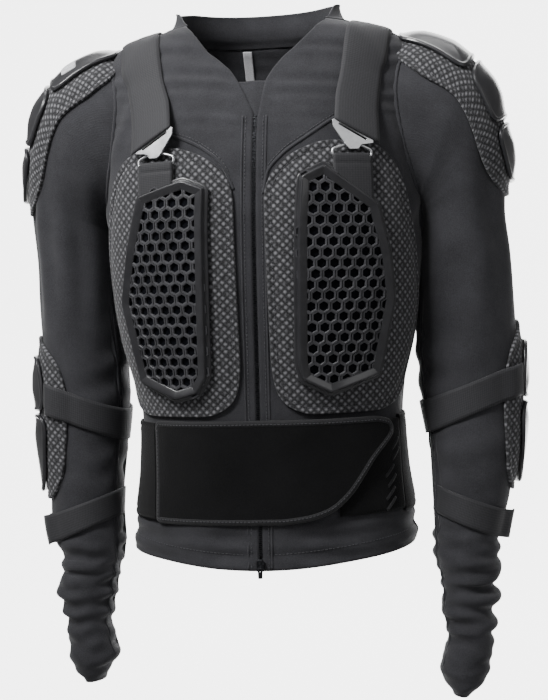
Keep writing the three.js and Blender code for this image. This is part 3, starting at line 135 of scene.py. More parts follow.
ARM_TOP = {
    "out": [0.612, 0.767, 0.922, 0.985, 1.005, 1.01, 1.006],
    "down": [0.144, 0.144, 0.163, 0.2, 0.234, 0.264, 0.292],
    "size": [0.953, 1.0, 0.93, 0.767, 0.628, 0.543, 0.512],
    "deep": [1.115, 1.192, 1.192, 1.115, 1.038, 1.0, 0.981],
    "tilt": [90, 88, 70, 52, 36, 20, 6],
    "ahead": [-0.07, -0.07, -0.07, -0.09, -0.09, -0.11, -0.11],
}
ARM_LOW = {
    "right": {
        "out": [
            1.0, 1.0, 1.0, 0.998, 0.995, 0.993, 0.97, 0.95, 0.963, 0.957, 0.979, 0.977, 0.966,
            0.961, 0.933, 0.939, 0.927,
        ],
        "down": [
            0.352, 0.491, 0.557, 0.616, 0.667, 0.723, 0.769, 0.796, 0.807, 0.819, 0.835, 0.855,
            0.878, 0.899, 0.941, 0.959, 0.978,
        ],
        "size": [
            0.86, 0.88, 0.9, 0.83, 0.75, 0.72, 0.69, 0.58, 0.61, 0.54, 0.6, 0.55, 0.464,
            0.42, 0.476, 0.34, 0.17,
        ],
        "deep": [
            0.962, 0.942, 0.962, 0.904, 0.827, 0.769, 0.731, 0.635, 0.673, 0.596, 0.654, 0.596,
            0.538, 0.5, 0.577, 0.519, 0.385,
        ],
        "ahead": [
            -0.13, -0.2, -0.17, -0.04, 0.13, 0.33, 0.5, 0.61, 0.65, 0.7, 0.74, 0.83, 0.91, 1.0,
            1.13, 1.17, 1.2,
        ],
    },
    "left": {
        "out": [
            1.005, 1.012, 1.017, 1.029, 1.024, 1.0, 0.977, 0.995, 0.983, 0.997, 0.973, 0.991,
            0.989, 0.979, 0.954, 0.951, 0.937,
        ],
        "down": [
            0.352, 0.484, 0.543, 0.632, 0.701, 0.745, 0.796, 0.821, 0.841, 0.862, 0.879, 0.898,
            0.913, 0.932, 0.966, 0.987, 1.0,
        ],
        "size": [
            0.96, 1.02, 1.0, 0.86, 0.73, 0.68, 0.628, 0.608, 0.494, 0.56, 0.474, 0.484, 0.42,
            0.448, 0.464, 0.3, 0.14,
        ],
        "deep": [
            0.981, 1.0, 1.0, 0.904, 0.788, 0.75, 0.692, 0.673, 0.577, 0.615, 0.538, 0.538, 0.5,
            0.538, 0.558, 0.5, 0.365,
        ],
        "ahead": [
            -0.13, -0.2, -0.17, 0.09, 0.3, 0.43, 0.61, 0.67, 0.74, 0.8, 0.87, 0.93, 1.0, 1.07,
            1.15, 1.17, 1.2,
        ],
    },
}  # fmt: skip
CHEST_PAD = {
    "down": [0, 0.04, 0.1, 0.2, 0.42, 0.62, 0.78, 0.9, 0.96, 1.0],
    "near": [0.32, 0.17, 0.06, 0, 0, 0, 0, 0.02, 0.07, 0.18],
    "far": [0.56, 0.68, 0.76, 0.83, 0.94, 1.0, 0.95, 0.86, 0.78, 0.62],
}
CHEST_PLATE = {  # corners: how far round the chest and how far down
    "right": [
        (63, 151), (37.5, 162), (39.5, 200), (43, 350), (54, 369), (80, 375.5), (124.5, 355), (142, 272),
        (130, 222), (112.5, 165),
    ],
    "left": [
        (74, 141.5), (48, 154), (44, 200), (38, 338), (42, 357), (70, 373), (122.5, 354), (142, 276),
        (138, 230), (126, 181),
    ],
}
SHOULDER_PAD = {
    "along": [0, 0.06, 0.2, 0.42, 0.64, 0.84, 0.96, 1.0],
    "half": [0.3, 0.72, 0.98, 1.0, 0.9, 0.7, 0.46, 0.25],
}
ELBOW_PAD = {
    "along": [0, 0.08, 0.22, 0.42, 0.7, 0.93, 1.0],
    "half": [0.2, 0.56, 0.88, 1.0, 0.86, 0.6, 0.42],
}
SHOULDER_CAPS = [
    ("top", 0.05, 0.375, 0.62, 1.0),
    ("middle", 0.395, 0.66, 1.0, 0.86),
    ("lower", 0.68, 0.94, 0.8, 0.42),
]
ELBOW_CAPS = [("upper", 0.12, 0.455, 0.66, 1.0), ("lower", 0.475, 0.96, 1.0, 0.46)]
FLAP = {
    "down": [0, 0.06, 0.16, 0.42, 0.76, 0.9, 0.97, 1.0],
    "far": [0.86, 0.98, 1.0, 0.82, 0.63, 0.5, 0.34, 0.16],
}
NECK_EDGE = {  # half the neck opening, by height
    "height": [-94, -88, -72, -56, -44, -31, -23, -5, 17, 38],
    "right": [-6.8, -4.5, 3.0, 11, 18.5, 32, 42, 55, 69, 80],
    "left": [10.2, 11.5, 14, 17.5, 24.5, 35, 44, 61, 74, 81],
}
ZIP_LINE = {"height": [-546, -375, -275, -162, -77, -50], "across": [-2, 0, 2.5, 5.5, 8, 8.5]}
STRAP_LEAN = [1, 0.7, 0.3]  # how far each front station follows the buckle
STRAP_INWARD = {"right": 11, "left": 2}
STRAP_ROUTE = [
    ("front", 0.865, 1.0),
    ("front", 0.885, 0.72),
    ("front", 0.92, 0.46),
    ("top", 0.96, -1.0),
    ("top", 0.99, -0.56),
    ("top", 1.0, -0.08),
    ("top", 1.0, 0.2),
    ("top", 0.99, 0.5),
    ("top", 0.97, 0.92),
    ("back", 0.96, 0.035),
    ("back", 0.94, 0.07),
    ("back", 0.92, 0.12),
    ("back", 0.87, 0.22),
    ("back", 0.8, 0.4),
    ("back", 0.71, 0.62),
    ("back", 0.62, 0.82),
    ("back", 0.54, 0.992),
]


def run_along(points):
    """How far each point lies along the line of points, from the first."""
    return np.concatenate([[0], np.cumsum(np.linalg.norm(np.diff(points, axis=0), axis=1))])


def read_rows(table, at):
    """A table read between its rows, on cubics that never overshoot a row."""
    keys = list(table)
    last = len(table[keys[0]]) - 1
    at = np.clip(np.asarray(at, float), 0, last)
    i = np.minimum(at.astype(int), last - 1)
    f = at - i
    row = {}
    for key in keys:
        column = np.asarray(table[key], float)
        step = np.diff(column)
        here = step[i]
        before = step[np.maximum(i - 1, 0)]
        after = step[np.minimum(i + 1, last - 1)]

        def slope(p, q):
            total = np.where(np.abs(p + q) < 1e-12, 1, p + q)
            return np.where(p * q <= 0, 0, 2 * p * q / total)

        m, n = slope(before, here), slope(here, after)
        f2, f3 = f * f, f * f * f
        a, b = column[i], column[i + 1]
        row[key] = (2 * f3 - 3 * f2 + 1) * a + (f3 - 2 * f2 + f) * m + (3 * f2 - 2 * f3) * b + (f3 - f2) * n
    return row


def find_rows(table, key, values):
    """The places in a table where a rising or falling column has these values."""
    fine = np.linspace(0, len(table[key]) - 1, 4001)
    column = read_rows(table, fine)[key]
    if column[-1] < column[0]:
        fine, column = fine[::-1], column[::-1]
    return np.interp(values, column, fine)


ROW_MARKS = 30  # how finely a form's sections are measured
GIRTH_MARKS = np.linspace(-600, 600, 601)


class Form:
    """A worn shape: a stack of oval sections, read by row and angle. turn is its outward side."""

    def __init__(self, table, place, turn):
        self.table = table
        self.place = place
        self.turn = turn
        self.girths = {}
        self.last = len(next(iter(table.values()))) - 1

    def at(self, row, angle):
        return self.place(read_rows(self.table, row), angle)

    def lift(self, row, angle, height):
        row, angle, height = np.broadcast_arrays(*(np.asarray(v, float) for v in (row, angle, height)))
        across = self.at(row, angle + 0.01) - self.at(row, angle - 0.01)
        along = self.at(row + 0.02, angle) - self.at(row - 0.02, angle)
        normal = np.cross(across, along)
        normal /= np.maximum(np.linalg.norm(normal, axis=-1, keepdims=True), 1e-9)
        return self.at(row, angle) + normal * (self.turn * height)[..., None]

    def measured(self, centre):
        """Angles by row and by distance round the section from a centre angle."""
        if centre not in self.girths:
            rows = np.linspace(0, self.last, ROW_MARKS * self.last + 1)
            angles = centre + np.linspace(-math.pi, math.pi, 721)
            steps = np.linalg.norm(np.diff(self.at(rows[:, None], angles[None, :]), axis=1), axis=2)
            walked = np.concatenate([np.zeros((len(rows), 1)), np.cumsum(steps, axis=1)], axis=1)
            walked -= walked[:, 360:361]
            self.girths[centre] = np.array([np.interp(GIRTH_MARKS, line, angles) for line in walked])
        return self.girths[centre]

    def angles(self, row, distance, centre=0.0):
        """The angles that lie these distances round the sections from a centre angle."""
        table = self.measured(centre)
        row, distance = np.broadcast_arrays(np.asarray(row, float), np.asarray(distance, float))
        r = np.clip(row * ROW_MARKS, 0, len(table) - 1.001)
        d = np.clip((distance - GIRTH_MARKS[0]) / (GIRTH_MARKS[1] - GIRTH_MARKS[0]), 0, len(GIRTH_MARKS) - 1.001)
        i, j = r.astype(int), d.astype(int)
        f, g = r - i, d - j
        upper = (1 - g) * table[i, j] + g * table[i, j + 1]
        lower = (1 - g) * table[i + 1, j] + g * table[i + 1, j + 1]
        return (1 - f) * upper + f * lower


def torso_place(s, angle):
    wide = s["wide"] * CHEST_WIDTH / 2
    sine, cosine = np.sin(angle), np.cos(angle)
    depth = np.where(cosine > 0, s["front"], s["back"]) * CHEST_DEPTH / 2
    power = s["round"]
    reach = ((np.abs(sine) / wide) ** power + (np.abs(cosine) / depth) ** power) ** (-1 / power)
    height = s["up"] * COLLAR_HEIGHT - s["down"] * BODY_LENGTH
    return np.stack(np.broadcast_arrays(reach * sine, -reach * cosine, height), axis=-1)


def arm_place(side):
    mirror = SIDES[side]

    def place(s, angle):
        tilt = np.radians(s["tilt"])
        out = s["half"] * np.cos(angle)
        return np.stack(
            np.broadcast_arrays(
                mirror * (s["out"] * ARM_SPREAD + out * np.cos(tilt)),
                -s["ahead"] * HAND_FORWARD - s["deep"] * SLEEVE_DEPTH / 2 * np.sin(angle),
                -s["down"] * SLEEVE_DROP + out * np.sin(tilt),
            ),
            axis=-1,
        )

    return place


def arm_table(side):
    low = ARM_LOW[side]
    table = {key: ARM_TOP[key] + low[key] for key in ("out", "down", "deep", "ahead")}
    table["tilt"] = ARM_TOP["tilt"] + [0] * len(low["out"])
    table["half"] = [s * ARMHOLE_HEIGHT / 2 for s in ARM_TOP["size"]] + [s * SLEEVE_WIDTH / 2 for s in low["size"]]
    return table


torso = Form(TORSO, torso_place, -1)
arms = {side: Form(arm_table(side), arm_place(side), SIDES[side]) for side in SIDES}
TORSO_HEIGHT = {"z": [u * COLLAR_HEIGHT - d * BODY_LENGTH for u, d in zip(TORSO["up"], TORSO["down"])]}


def torso_rows(heights):
    """The rows of the torso's sections at these heights."""
    return find_rows(TORSO_HEIGHT, "z", heights)


def on_chest(distance, height, lift):
    """Points on the torso by distance round from the centre of the chest, height and lift."""
    rows = torso_rows(height)
    return torso.lift(rows, torso.angles(rows, distance), lift)


ARMHOLE_ROW = 0.35


def outer_line(side):
    """Rows down an arm and the distance that its outer line has run at each."""
    form = arms[side]
    rows = np.linspace(ARMHOLE_ROW, form.last, 1500)
    points = form.at(rows, np.zeros_like(rows))
    walked = run_along(points)
    return rows, walked, points[:, 2]


OUTER = {side: outer_line(side) for side in SIDES}


def arm_rows(side, distances):
    """The rows of an arm's sections at distances down its outer line."""
    rows, walked, _ = OUTER[side]
    return np.interp(distances, walked, rows)


def arm_distance(side, height):
    """How far down an arm's outer line a height lies."""
    _, walked, heights = OUTER[side]
    return float(np.interp(-height, -heights, walked))


def on_arm(side, distance, around, lift, centre=0.0):
    """Points on an arm by distance down its outer line, distance round from a centre angle, and lift."""
    rows = arm_rows(side, distance)
    return arms[side].lift(rows, arms[side].angles(rows, around, centre), lift)


def halved(low, high, shape, inside):
    """The edge between inside and outside, found by halving the range."""
    low, high = np.full(shape, float(low)), np.full(shape, float(high))
    for _ in range(34):
        middle = (low + high) / 2
        near = inside(middle)
        low, high = np.where(near, middle, low), np.where(near, high, middle)
    return low


def on_torso(face, x, place, lift):
    """Points on the torso by place: across and height on the front or back, across and depth on top."""
    x, place, lift = np.broadcast_arrays(*(np.asarray(v, float) for v in (x, place, lift)))
    if face == "top":
        angle = np.arctan2(x, -place)

        def inside(middle):
            point = torso.at(middle, angle)
            return np.hypot(point[..., 0], point[..., 1]) < np.hypot(x, place)

        return torso.lift(halved(1, 12, x.shape, inside), angle, lift)
    row = torso_rows(-place)
    start = 0 if face == "front" else math.pi
    turn = halved(start, math.pi / 2, x.shape, lambda middle: torso.at(row, middle)[..., 0] < np.abs(x))
    return torso.lift(row, np.sign(x) * turn, lift)


def smoothstep(value, low, high):
    """A soft step from 0 at low to 1 at high."""
    share = np.clip((np.asarray(value, float) - low) / (high - low), 0, 1)
    return share * share * (3 - 2 * share)


def new_object(name, vertices, faces, material=None, smooth=True):
    """An object at the origin, from vertices in millimetres."""
    mesh = bpy.data.meshes.new(name)
    mesh.from_pydata((np.asarray(vertices, float).reshape(-1, 3) * MM).tolist(), [], faces)
    mesh.validate()
    obj = bpy.data.objects.new(name, mesh)
    bpy.context.scene.collection.objects.link(obj)
    if material:
        mesh.materials.append(material)
    mesh.polygons.foreach_set("use_smooth", [smooth] * len(mesh.polygons))
    return obj


def set_cloth(obj, cloth):
    """Stores where each point of both faces lies on the cloth, in millimetres, for weaves to follow."""
    attribute = obj.data.attributes.new("cloth_mm", "FLOAT_VECTOR", "POINT")
    values = np.zeros((len(obj.data.vertices), 3))
    values[:, :2] = np.tile(cloth.reshape(-1, 2), (2, 1))
    attribute.data.foreach_set("vector", values.ravel())


def closed_patch(name, top, bottom, material, cloth, keep=None):
    """A closed sheet between an upper and a lower grid of points. keep says which cells of the grid are there."""
    rows, columns = top.shape[:2]
    if keep is None:
        keep = np.ones((rows - 1, columns - 1), bool)
    vertices = np.concatenate([bottom.reshape(-1, 3), top.reshape(-1, 3)])
    count = rows * columns
    at = lambda r, c, level: level * count + r * columns + c
    kept = np.pad(keep, 1)
    faces = []
    for r, c in np.argwhere(keep).tolist():
        faces.append((at(r, c, 0), at(r, c + 1, 0), at(r + 1, c + 1, 0), at(r + 1, c, 0)))
        faces.append((at(r, c, 1), at(r + 1, c, 1), at(r + 1, c + 1, 1), at(r, c + 1, 1)))
        if not kept[r + 1, c]:
            faces.append((at(r, c, 0), at(r + 1, c, 0), at(r + 1, c, 1), at(r, c, 1)))
        if not kept[r + 1, c + 2]:
            faces.append((at(r, c + 1, 0), at(r, c + 1, 1), at(r + 1, c + 1, 1), at(r + 1, c + 1, 0)))
        if not kept[r, c + 1]:
            faces.append((at(r, c, 0), at(r, c, 1), at(r, c + 1, 1), at(r, c + 1, 0)))
        if not kept[r + 2, c + 1]:
            faces.append((at(r + 1, c, 0), at(r + 1, c + 1, 0), at(r + 1, c + 1, 1), at(r + 1, c, 1)))
    obj = new_object(name, vertices, faces, material)
    set_cloth(obj, cloth)
    return face_outwards(obj)


def face_outwards(obj):
    """Turns every closed shell of a mesh the right way out, and drops loose points."""
    bm = bmesh.new()
    bm.from_mesh(obj.data)
    bmesh.ops.delete(bm, geom=[v for v in bm.verts if not v.link_faces], context="VERTS")
    bmesh.ops.recalc_face_normals(bm, faces=bm.faces)
    bm.to_mesh(obj.data)
    bm.free()
    return obj


def apply_modifiers(obj):
    """Replaces a piece's mesh by what its modifiers make of it."""
    depsgraph = bpy.context.evaluated_depsgraph_get()
    mesh = bpy.data.meshes.new_from_object(obj.evaluated_get(depsgraph))
    obj.modifiers.clear()
    old = obj.data
    obj.data = mesh
    mesh.name = old.name
    bpy.data.meshes.remove(old)
    return obj


def place_piece(obj, slot, *nodes):
    """Rides a piece on the one body and hides the solids that it replaces. Its slot is not used."""
    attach(obj, "root")
    if nodes:
        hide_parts(*nodes)
    return obj


def even_outline(points, count=240, soften=3.0):
    """A closed outline with evenly spaced points and softened corners."""
    closed = np.vstack([points, points[:1]])
    run = run_along(closed)
    marks = np.linspace(0, run[-1], count, endpoint=False)
    even = np.stack([np.interp(marks, run, closed[:, k]) for k in (0, 1)], axis=1)
    waves = 2 * math.pi * np.fft.fftfreq(count, run[-1] / count)
    keep = np.exp(-((waves * soften) ** 2) / 2)
    return np.fft.ifft(np.fft.fft(even, axis=0) * keep[:, None], axis=0).real


def table_outline(table, key, near, far, height, soften=3.0):
    """The outline of a flat-cut piece from its table: across from near to far, and down."""
    rows = np.linspace(0, len(table[key]) - 1, 120)
    cut = read_rows(table, rows)
    down = cut[key] * height
    right = np.stack([far(cut), down], axis=1)
    left = np.stack([near(cut), down], axis=1)[::-1]
    return even_outline(np.vstack([right, left]), soften=soften)


def inwards(points, outline):
    """How far inside a closed outline points lie."""
    flat = points.reshape(-1, 1, 2)
    start = outline[None]
    along = np.roll(outline, -1, axis=0)[None] - start
    share = np.clip(((flat - start) * along).sum(2) / (along**2).sum(2), 0, 1)
    away = np.linalg.norm(flat - start - share[..., None] * along, axis=2).min(axis=1)
    return away.reshape(points.shape[:-1])


def filled(outline, rows, columns, crowd=0.35):
    """A grid of points that fills a closed outline, with the grid's border on the outline."""
    low, high = outline.min(axis=0), outline.max(axis=0)
    centre, half = (low + high) / 2, (high - low) / 2
    marks = [np.linspace(-1, 1, count) for count in (columns, rows)]
    marks = [(1 - crowd) * m + crowd * np.sin(m * math.pi / 2) for m in marks]
    x, y = np.meshgrid(*marks)
    wide, tall = x * np.sqrt(1 - y * y / 2), y * np.sqrt(1 - x * x / 2)
    unit = (outline - centre) / half
    bearing = np.arctan2(unit[:, 1], unit[:, 0])
    order = np.argsort(bearing)
    reach = np.interp(
        np.arctan2(tall, wide), bearing[order], np.hypot(unit[:, 0], unit[:, 1])[order], period=2 * math.pi
    )
    return centre + half * np.stack([wide * reach, tall * reach], axis=-1)


def smooth_through(stations, count):
    """Points on a smooth curve through stations, evenly spaced along it. Each station may be a row of points."""
    stations = np.asarray(stations, float)
    shape = stations.shape[1:]
    flat = stations.reshape(len(stations), -1)
    middle = stations.reshape(len(stations), -1, 3).mean(axis=1)
    run = run_along(middle)
    slope = np.gradient(flat, run, axis=0)
    marks = np.linspace(0, run[-1], count)
    i = np.clip(np.searchsorted(run, marks, side="right") - 1, 0, len(run) - 2)
    step = run[i + 1] - run[i]
    f = ((marks - run[i]) / step)[:, None]
    f2, f3 = f * f, f * f * f
    step = step[:, None]
    curve = (
        (2 * f3 - 3 * f2 + 1) * flat[i]
        + (f3 - 2 * f2 + f) * step * slope[i]
        + (3 * f2 - 2 * f3) * flat[i + 1]
        + (f3 - f2) * step * slope[i + 1]
    )
    return curve.reshape(count, *shape)


def unit_vectors(vectors):
    return vectors / np.maximum(np.linalg.norm(vectors, axis=-1, keepdims=True), 1e-9)


def inset(outline, distance):
    """An outline moved inwards."""
    ahead = unit_vectors(np.roll(outline, -1, axis=0) - np.roll(outline, 1, axis=0))
    inward = np.stack([-ahead[:, 1], ahead[:, 0]], axis=1)
    if ((outline.mean(axis=0) - outline) * inward).sum() < 0:
        inward = -inward
    return outline + inward * distance


def ring_faces(rings, marks, closed):
    """Faces between closed rings of points, one after another, and from the last to the first if closed."""
    faces = []
    for r in range(rings if closed else rings - 1):
        s = (r + 1) % rings
        for c in range(marks):
            d = (c + 1) % marks
            faces.append((r * marks + c, r * marks + d, s * marks + d, s * marks + c))
    return faces


def swept(name, route, radius, material, sides=10, closed=False, squash=1.0, ups=None):
    """A round or flattened cord along a route."""
    route = np.asarray(route, float)
    ahead = np.roll(route, -1, axis=0) - np.roll(route, 1, axis=0) if closed else np.gradient(route, axis=0)
    ahead = unit_vectors(ahead)
    if ups is None:
        ups = [np.array([0.0, -1.0, 0.02])]
        for tangent in ahead:
            ups.append(unit_vectors(ups[-1] - tangent * (ups[-1] @ tangent)))
        ups = np.array(ups[1:])
    across = unit_vectors(np.cross(ahead, ups))
    ups = np.cross(across, ahead)
    turn = np.linspace(0, 2 * math.pi, sides, endpoint=False)
    ring = radius * (
        np.cos(turn)[None, :, None] * across[:, None] + squash * np.sin(turn)[None, :, None] * ups[:, None]
    )
    points = (route[:, None] + ring).reshape(-1, 3)
    count = len(route)
    faces = ring_faces(count, sides, closed)
    if not closed:
        faces.append(tuple(range(sides)))
        faces.append(tuple(range((count - 1) * sides, count * sides))[::-1])
    return face_outwards(new_object(name, points, faces, material))


def closed_tube(name, outer, inner, material, cloth):
    """A tube with a wall, open at both ends, from an outer and an inner grid that run all the way round."""
    rows, columns = outer.shape[:2]
    count = rows * columns
    at = lambda r, c, level: level * count + r * columns + c % columns
    faces = []
    for r in range(rows - 1):
        for c in range(columns):
            faces.append((at(r, c, 0), at(r, c + 1, 0), at(r + 1, c + 1, 0), at(r + 1, c, 0)))
            faces.append((at(r, c, 1), at(r + 1, c, 1), at(r + 1, c + 1, 1), at(r, c + 1, 1)))
    for c in range(columns):
        faces.append((at(0, c, 0), at(0, c, 1), at(0, c + 1, 1), at(0, c + 1, 0)))
        last = rows - 1
        faces.append((at(last, c, 0), at(last, c + 1, 0), at(last, c + 1, 1), at(last, c, 1)))
    vertices = np.concatenate([inner.reshape(-1, 3), outer.reshape(-1, 3)])
    obj = face_outwards(new_object(name, vertices, faces, material))
    set_cloth(obj, cloth)
    return obj


def puffed(obj, sewn, cap):
    """Fills a closed piece by a short cloth simulation, with its sewn points held, then smooths it."""
    start = np.empty(len(obj.data.vertices) * 3)
    obj.data.vertices.foreach_get("co", start)
    group = obj.vertex_groups.new(name="Sewn")
    for index, weight in enumerate(sewn.ravel()):
        group.add([index], float(weight), "REPLACE")
    cloth = obj.modifiers.new("Filling", "CLOTH")
    cloth.settings.vertex_group_mass = group.name
    cloth.settings.use_pressure = True
    cloth.settings.uniform_pressure_force = 4
    cloth.settings.effector_weights.gravity = 0
    cloth.settings.tension_stiffness = 12
    cloth.settings.compression_stiffness = 12
    cloth.settings.bending_stiffness = 4
    cloth.collision_settings.use_collision = False
    cloth.point_cache.frame_start = 1
    cloth.point_cache.frame_end = 20
    for number in range(1, 21):
        bpy.context.scene.frame_set(number)
    apply_modifiers(obj)
    bpy.context.scene.frame_set(1)
    end = np.empty_like(start)
    obj.data.vertices.foreach_get("co", end)
    move = (end - start).reshape(-1, 3)
    length = np.linalg.norm(move, axis=1, keepdims=True)
    move *= np.minimum(1, cap * MM / np.maximum(length, 1e-9))
    obj.data.vertices.foreach_set("co", (start.reshape(-1, 3) + move).ravel())
    obj.vertex_groups.clear()
    return smoothed(obj)


def smoothed(obj):
    """Smooths a piece by one subdivision."""
    smooth = obj.modifiers.new("Smooth", "SUBSURF")
    smooth.levels = smooth.render_levels = 1
    return apply_modifiers(obj)


def add_node(tree, kind, inputs=None, **settings):
    """Adds a node with its settings, and sets or links its inputs. A node given for an input is its first output."""
    node = tree.nodes.new(kind)
    for key, value in settings.items():
        setattr(node, key, value)
    for key, value in (inputs or {}).items():
        if isinstance(value, bpy.types.Node):
            value = value.outputs[0]
        if isinstance(value, bpy.types.NodeSocket):
            tree.links.new(value, node.inputs[key])
        else:
            node.inputs[key].default_value = value
    return node


def srgb(code):
    """A linear colour from an sRGB hex value."""
    parts = [int(code[i : i + 2], 16) / 255 for i in (0, 2, 4)]
    return tuple(p / 12.92 if p <= 0.04045 else ((p + 0.055) / 1.055) ** 2.4 for p in parts)


def repeat_on_points(name, points, turns, unit, material):
    """Repeats a small solid on points, each turned by its own axes, and joins the copies in one mesh."""
    mesh = bpy.data.meshes.new(name)
    mesh.from_pydata((np.asarray(points) * MM).tolist(), [], [])
    turn = mesh.attributes.new("turn", "FLOAT_VECTOR", "POINT")
    angles = [Matrix(np.transpose(axes).tolist()).to_euler() for axes in turns]
    turn.data.foreach_set("vector", np.array(angles, float).ravel())
    holder = bpy.data.objects.new(name, mesh)
    bpy.context.scene.collection.objects.link(holder)
    tree = bpy.data.node_groups.new(name + " repeat", "GeometryNodeTree")
    face = tree.interface
    face.new_socket("Points", in_out="INPUT", socket_type="NodeSocketGeometry")
    solid = face.new_socket("Solid", in_out="INPUT", socket_type="NodeSocketObject")
    size = face.new_socket("Size", in_out="INPUT", socket_type="NodeSocketFloat")
    finish = face.new_socket("Finish", in_out="INPUT", socket_type="NodeSocketMaterial")
    face.new_socket("Copies", in_out="OUTPUT", socket_type="NodeSocketGeometry")
    given = add_node(tree, "NodeGroupInput")
    shape = add_node(tree, "GeometryNodeObjectInfo", {"Object": given.outputs["Solid"]})
    stored = add_node(tree, "GeometryNodeInputNamedAttribute", {"Name": "turn"}, data_type="FLOAT_VECTOR")
    turned = add_node(tree, "FunctionNodeEulerToRotation", {"Euler": stored.outputs["Attribute"]})
    copies = add_node(
        tree,
        "GeometryNodeInstanceOnPoints",
        {
            "Points": given.outputs["Points"],
            "Instance": shape.outputs["Geometry"],
            "Rotation": turned.outputs["Rotation"],
            "Scale": given.outputs["Size"],
        },
    )
    real = add_node(tree, "GeometryNodeRealizeInstances", {"Geometry": copies.outputs["Instances"]})
    dressed = add_node(
        tree, "GeometryNodeSetMaterial", {"Geometry": real.outputs["Geometry"], "Material": given.outputs["Finish"]}
    )
    add_node(tree, "NodeGroupOutput", {"Copies": dressed.outputs["Geometry"]})
    modifier = holder.modifiers.new("Repeat", "NODES")
    modifier.node_group = tree
    modifier[solid.identifier] = unit
    modifier[size.identifier] = 1.0
    modifier[finish.identifier] = material
    apply_modifiers(holder)
    bpy.data.objects.remove(unit)
    return holder


# Finishes


def new_finish(name, shader):
    """A material with its main shader, whose plain numbers and colours are set on the shader itself."""
    material = bpy.data.materials.new(name)
    material.use_nodes = True
    tree = material.node_tree
    tree.nodes.clear()
    main = add_node(tree, "ShaderNodeBsdfPrincipled", shader)
    add_node(tree, "ShaderNodeOutputMaterial", {"Surface": main})
    return material, tree, main


def cloth_place(tree):
    """The place across and along the cloth, in millimetres."""
    place = add_node(tree, "ShaderNodeAttribute", attribute_name="cloth_mm", attribute_type="GEOMETRY")
    split = add_node(tree, "ShaderNodeSeparateXYZ", {"Vector": place.outputs["Vector"]})
    return split.outputs["X"], split.outputs["Y"]


def waves(tree, distance, pitch_mm):
    """A wave from 0 to 1 along a distance in millimetres."""
    turned = add_node(tree, "ShaderNodeMath", {0: distance, 1: 2 * math.pi / pitch_mm}, operation="MULTIPLY")
    sine = add_node(tree, "ShaderNodeMath", {0: turned}, operation="SINE")
    return add_node(tree, "ShaderNodeMath", {0: sine, 1: 0.5, 2: 0.5}, operation="MULTIPLY_ADD")


def crossed_waves(tree, first, second, *pitches_mm):
    """Rows of dots where two sets of waves cross."""
    ways = [waves(tree, way, pitch) for way, pitch in zip((first, second), pitches_mm)]
    return add_node(tree, "ShaderNodeMath", {0: ways[0], 1: ways[1]}, operation="MULTIPLY")


def knitted_wales(tree, fleck):
    """A knit's relief. Its colour comes from flecks alone."""
    # Real wales stand 0.5 mm apart; drawn at 1.5 mm, the finest that the picture can hold
    knit = crossed_waves(tree, *cloth_place(tree), 1.5, 1.2)
    return 0.0, add_node(tree, "ShaderNodeMath", {0: fleck, 1: 0.8, 2: knit}, operation="MULTIPLY_ADD")


def jacquard_lattice(tree, fleck):
    """A diagonal lattice of pale floats, as a share of colour and as a relief."""
    across, along = cloth_place(tree)
    slants = [
        add_node(tree, "ShaderNodeMath", {0: across, 1: along}, operation=way) for way in ("ADD", "SUBTRACT")
    ]
    # Floats 5.4 mm apart, with every second one dark, as coarse as they need to be to show in the picture
    pitch = 5.4 * math.sqrt(2)
    dots = crossed_waves(tree, *slants, pitch, pitch)
    voids = crossed_waves(tree, *slants, 2 * pitch, 2 * pitch)
    left = add_node(tree, "ShaderNodeMath", {0: voids, 1: -0.95, 2: 1.0}, operation="MULTIPLY_ADD")
    floats = add_node(tree, "ShaderNodeMath", {0: dots, 1: left}, operation="MULTIPLY")
    share = add_node(tree, "ShaderNodeMath", {0: floats, 1: 0.8}, operation="MULTIPLY")
    return share, add_node(tree, "ShaderNodeMath", {0: fleck, 1: 0.5, 2: share}, operation="MULTIPLY_ADD")


def webbing_ribs(tree, _):
    """Cross ribs and warp ends, drawn a little coarser than real ones so that they show."""
    across, along = cloth_place(tree)
    ribs = add_node(tree, "ShaderNodeMath", {0: waves(tree, along, 1.7), 1: 0.6}, operation="MULTIPLY")
    weave = add_node(
        tree, "ShaderNodeMath", {0: waves(tree, across, 2.4), 1: 0.4, 2: ribs}, operation="MULTIPLY_ADD"
    )
    return add_node(tree, "ShaderNodeMath", {0: weave, 1: 0.5}, operation="MULTIPLY"), weave


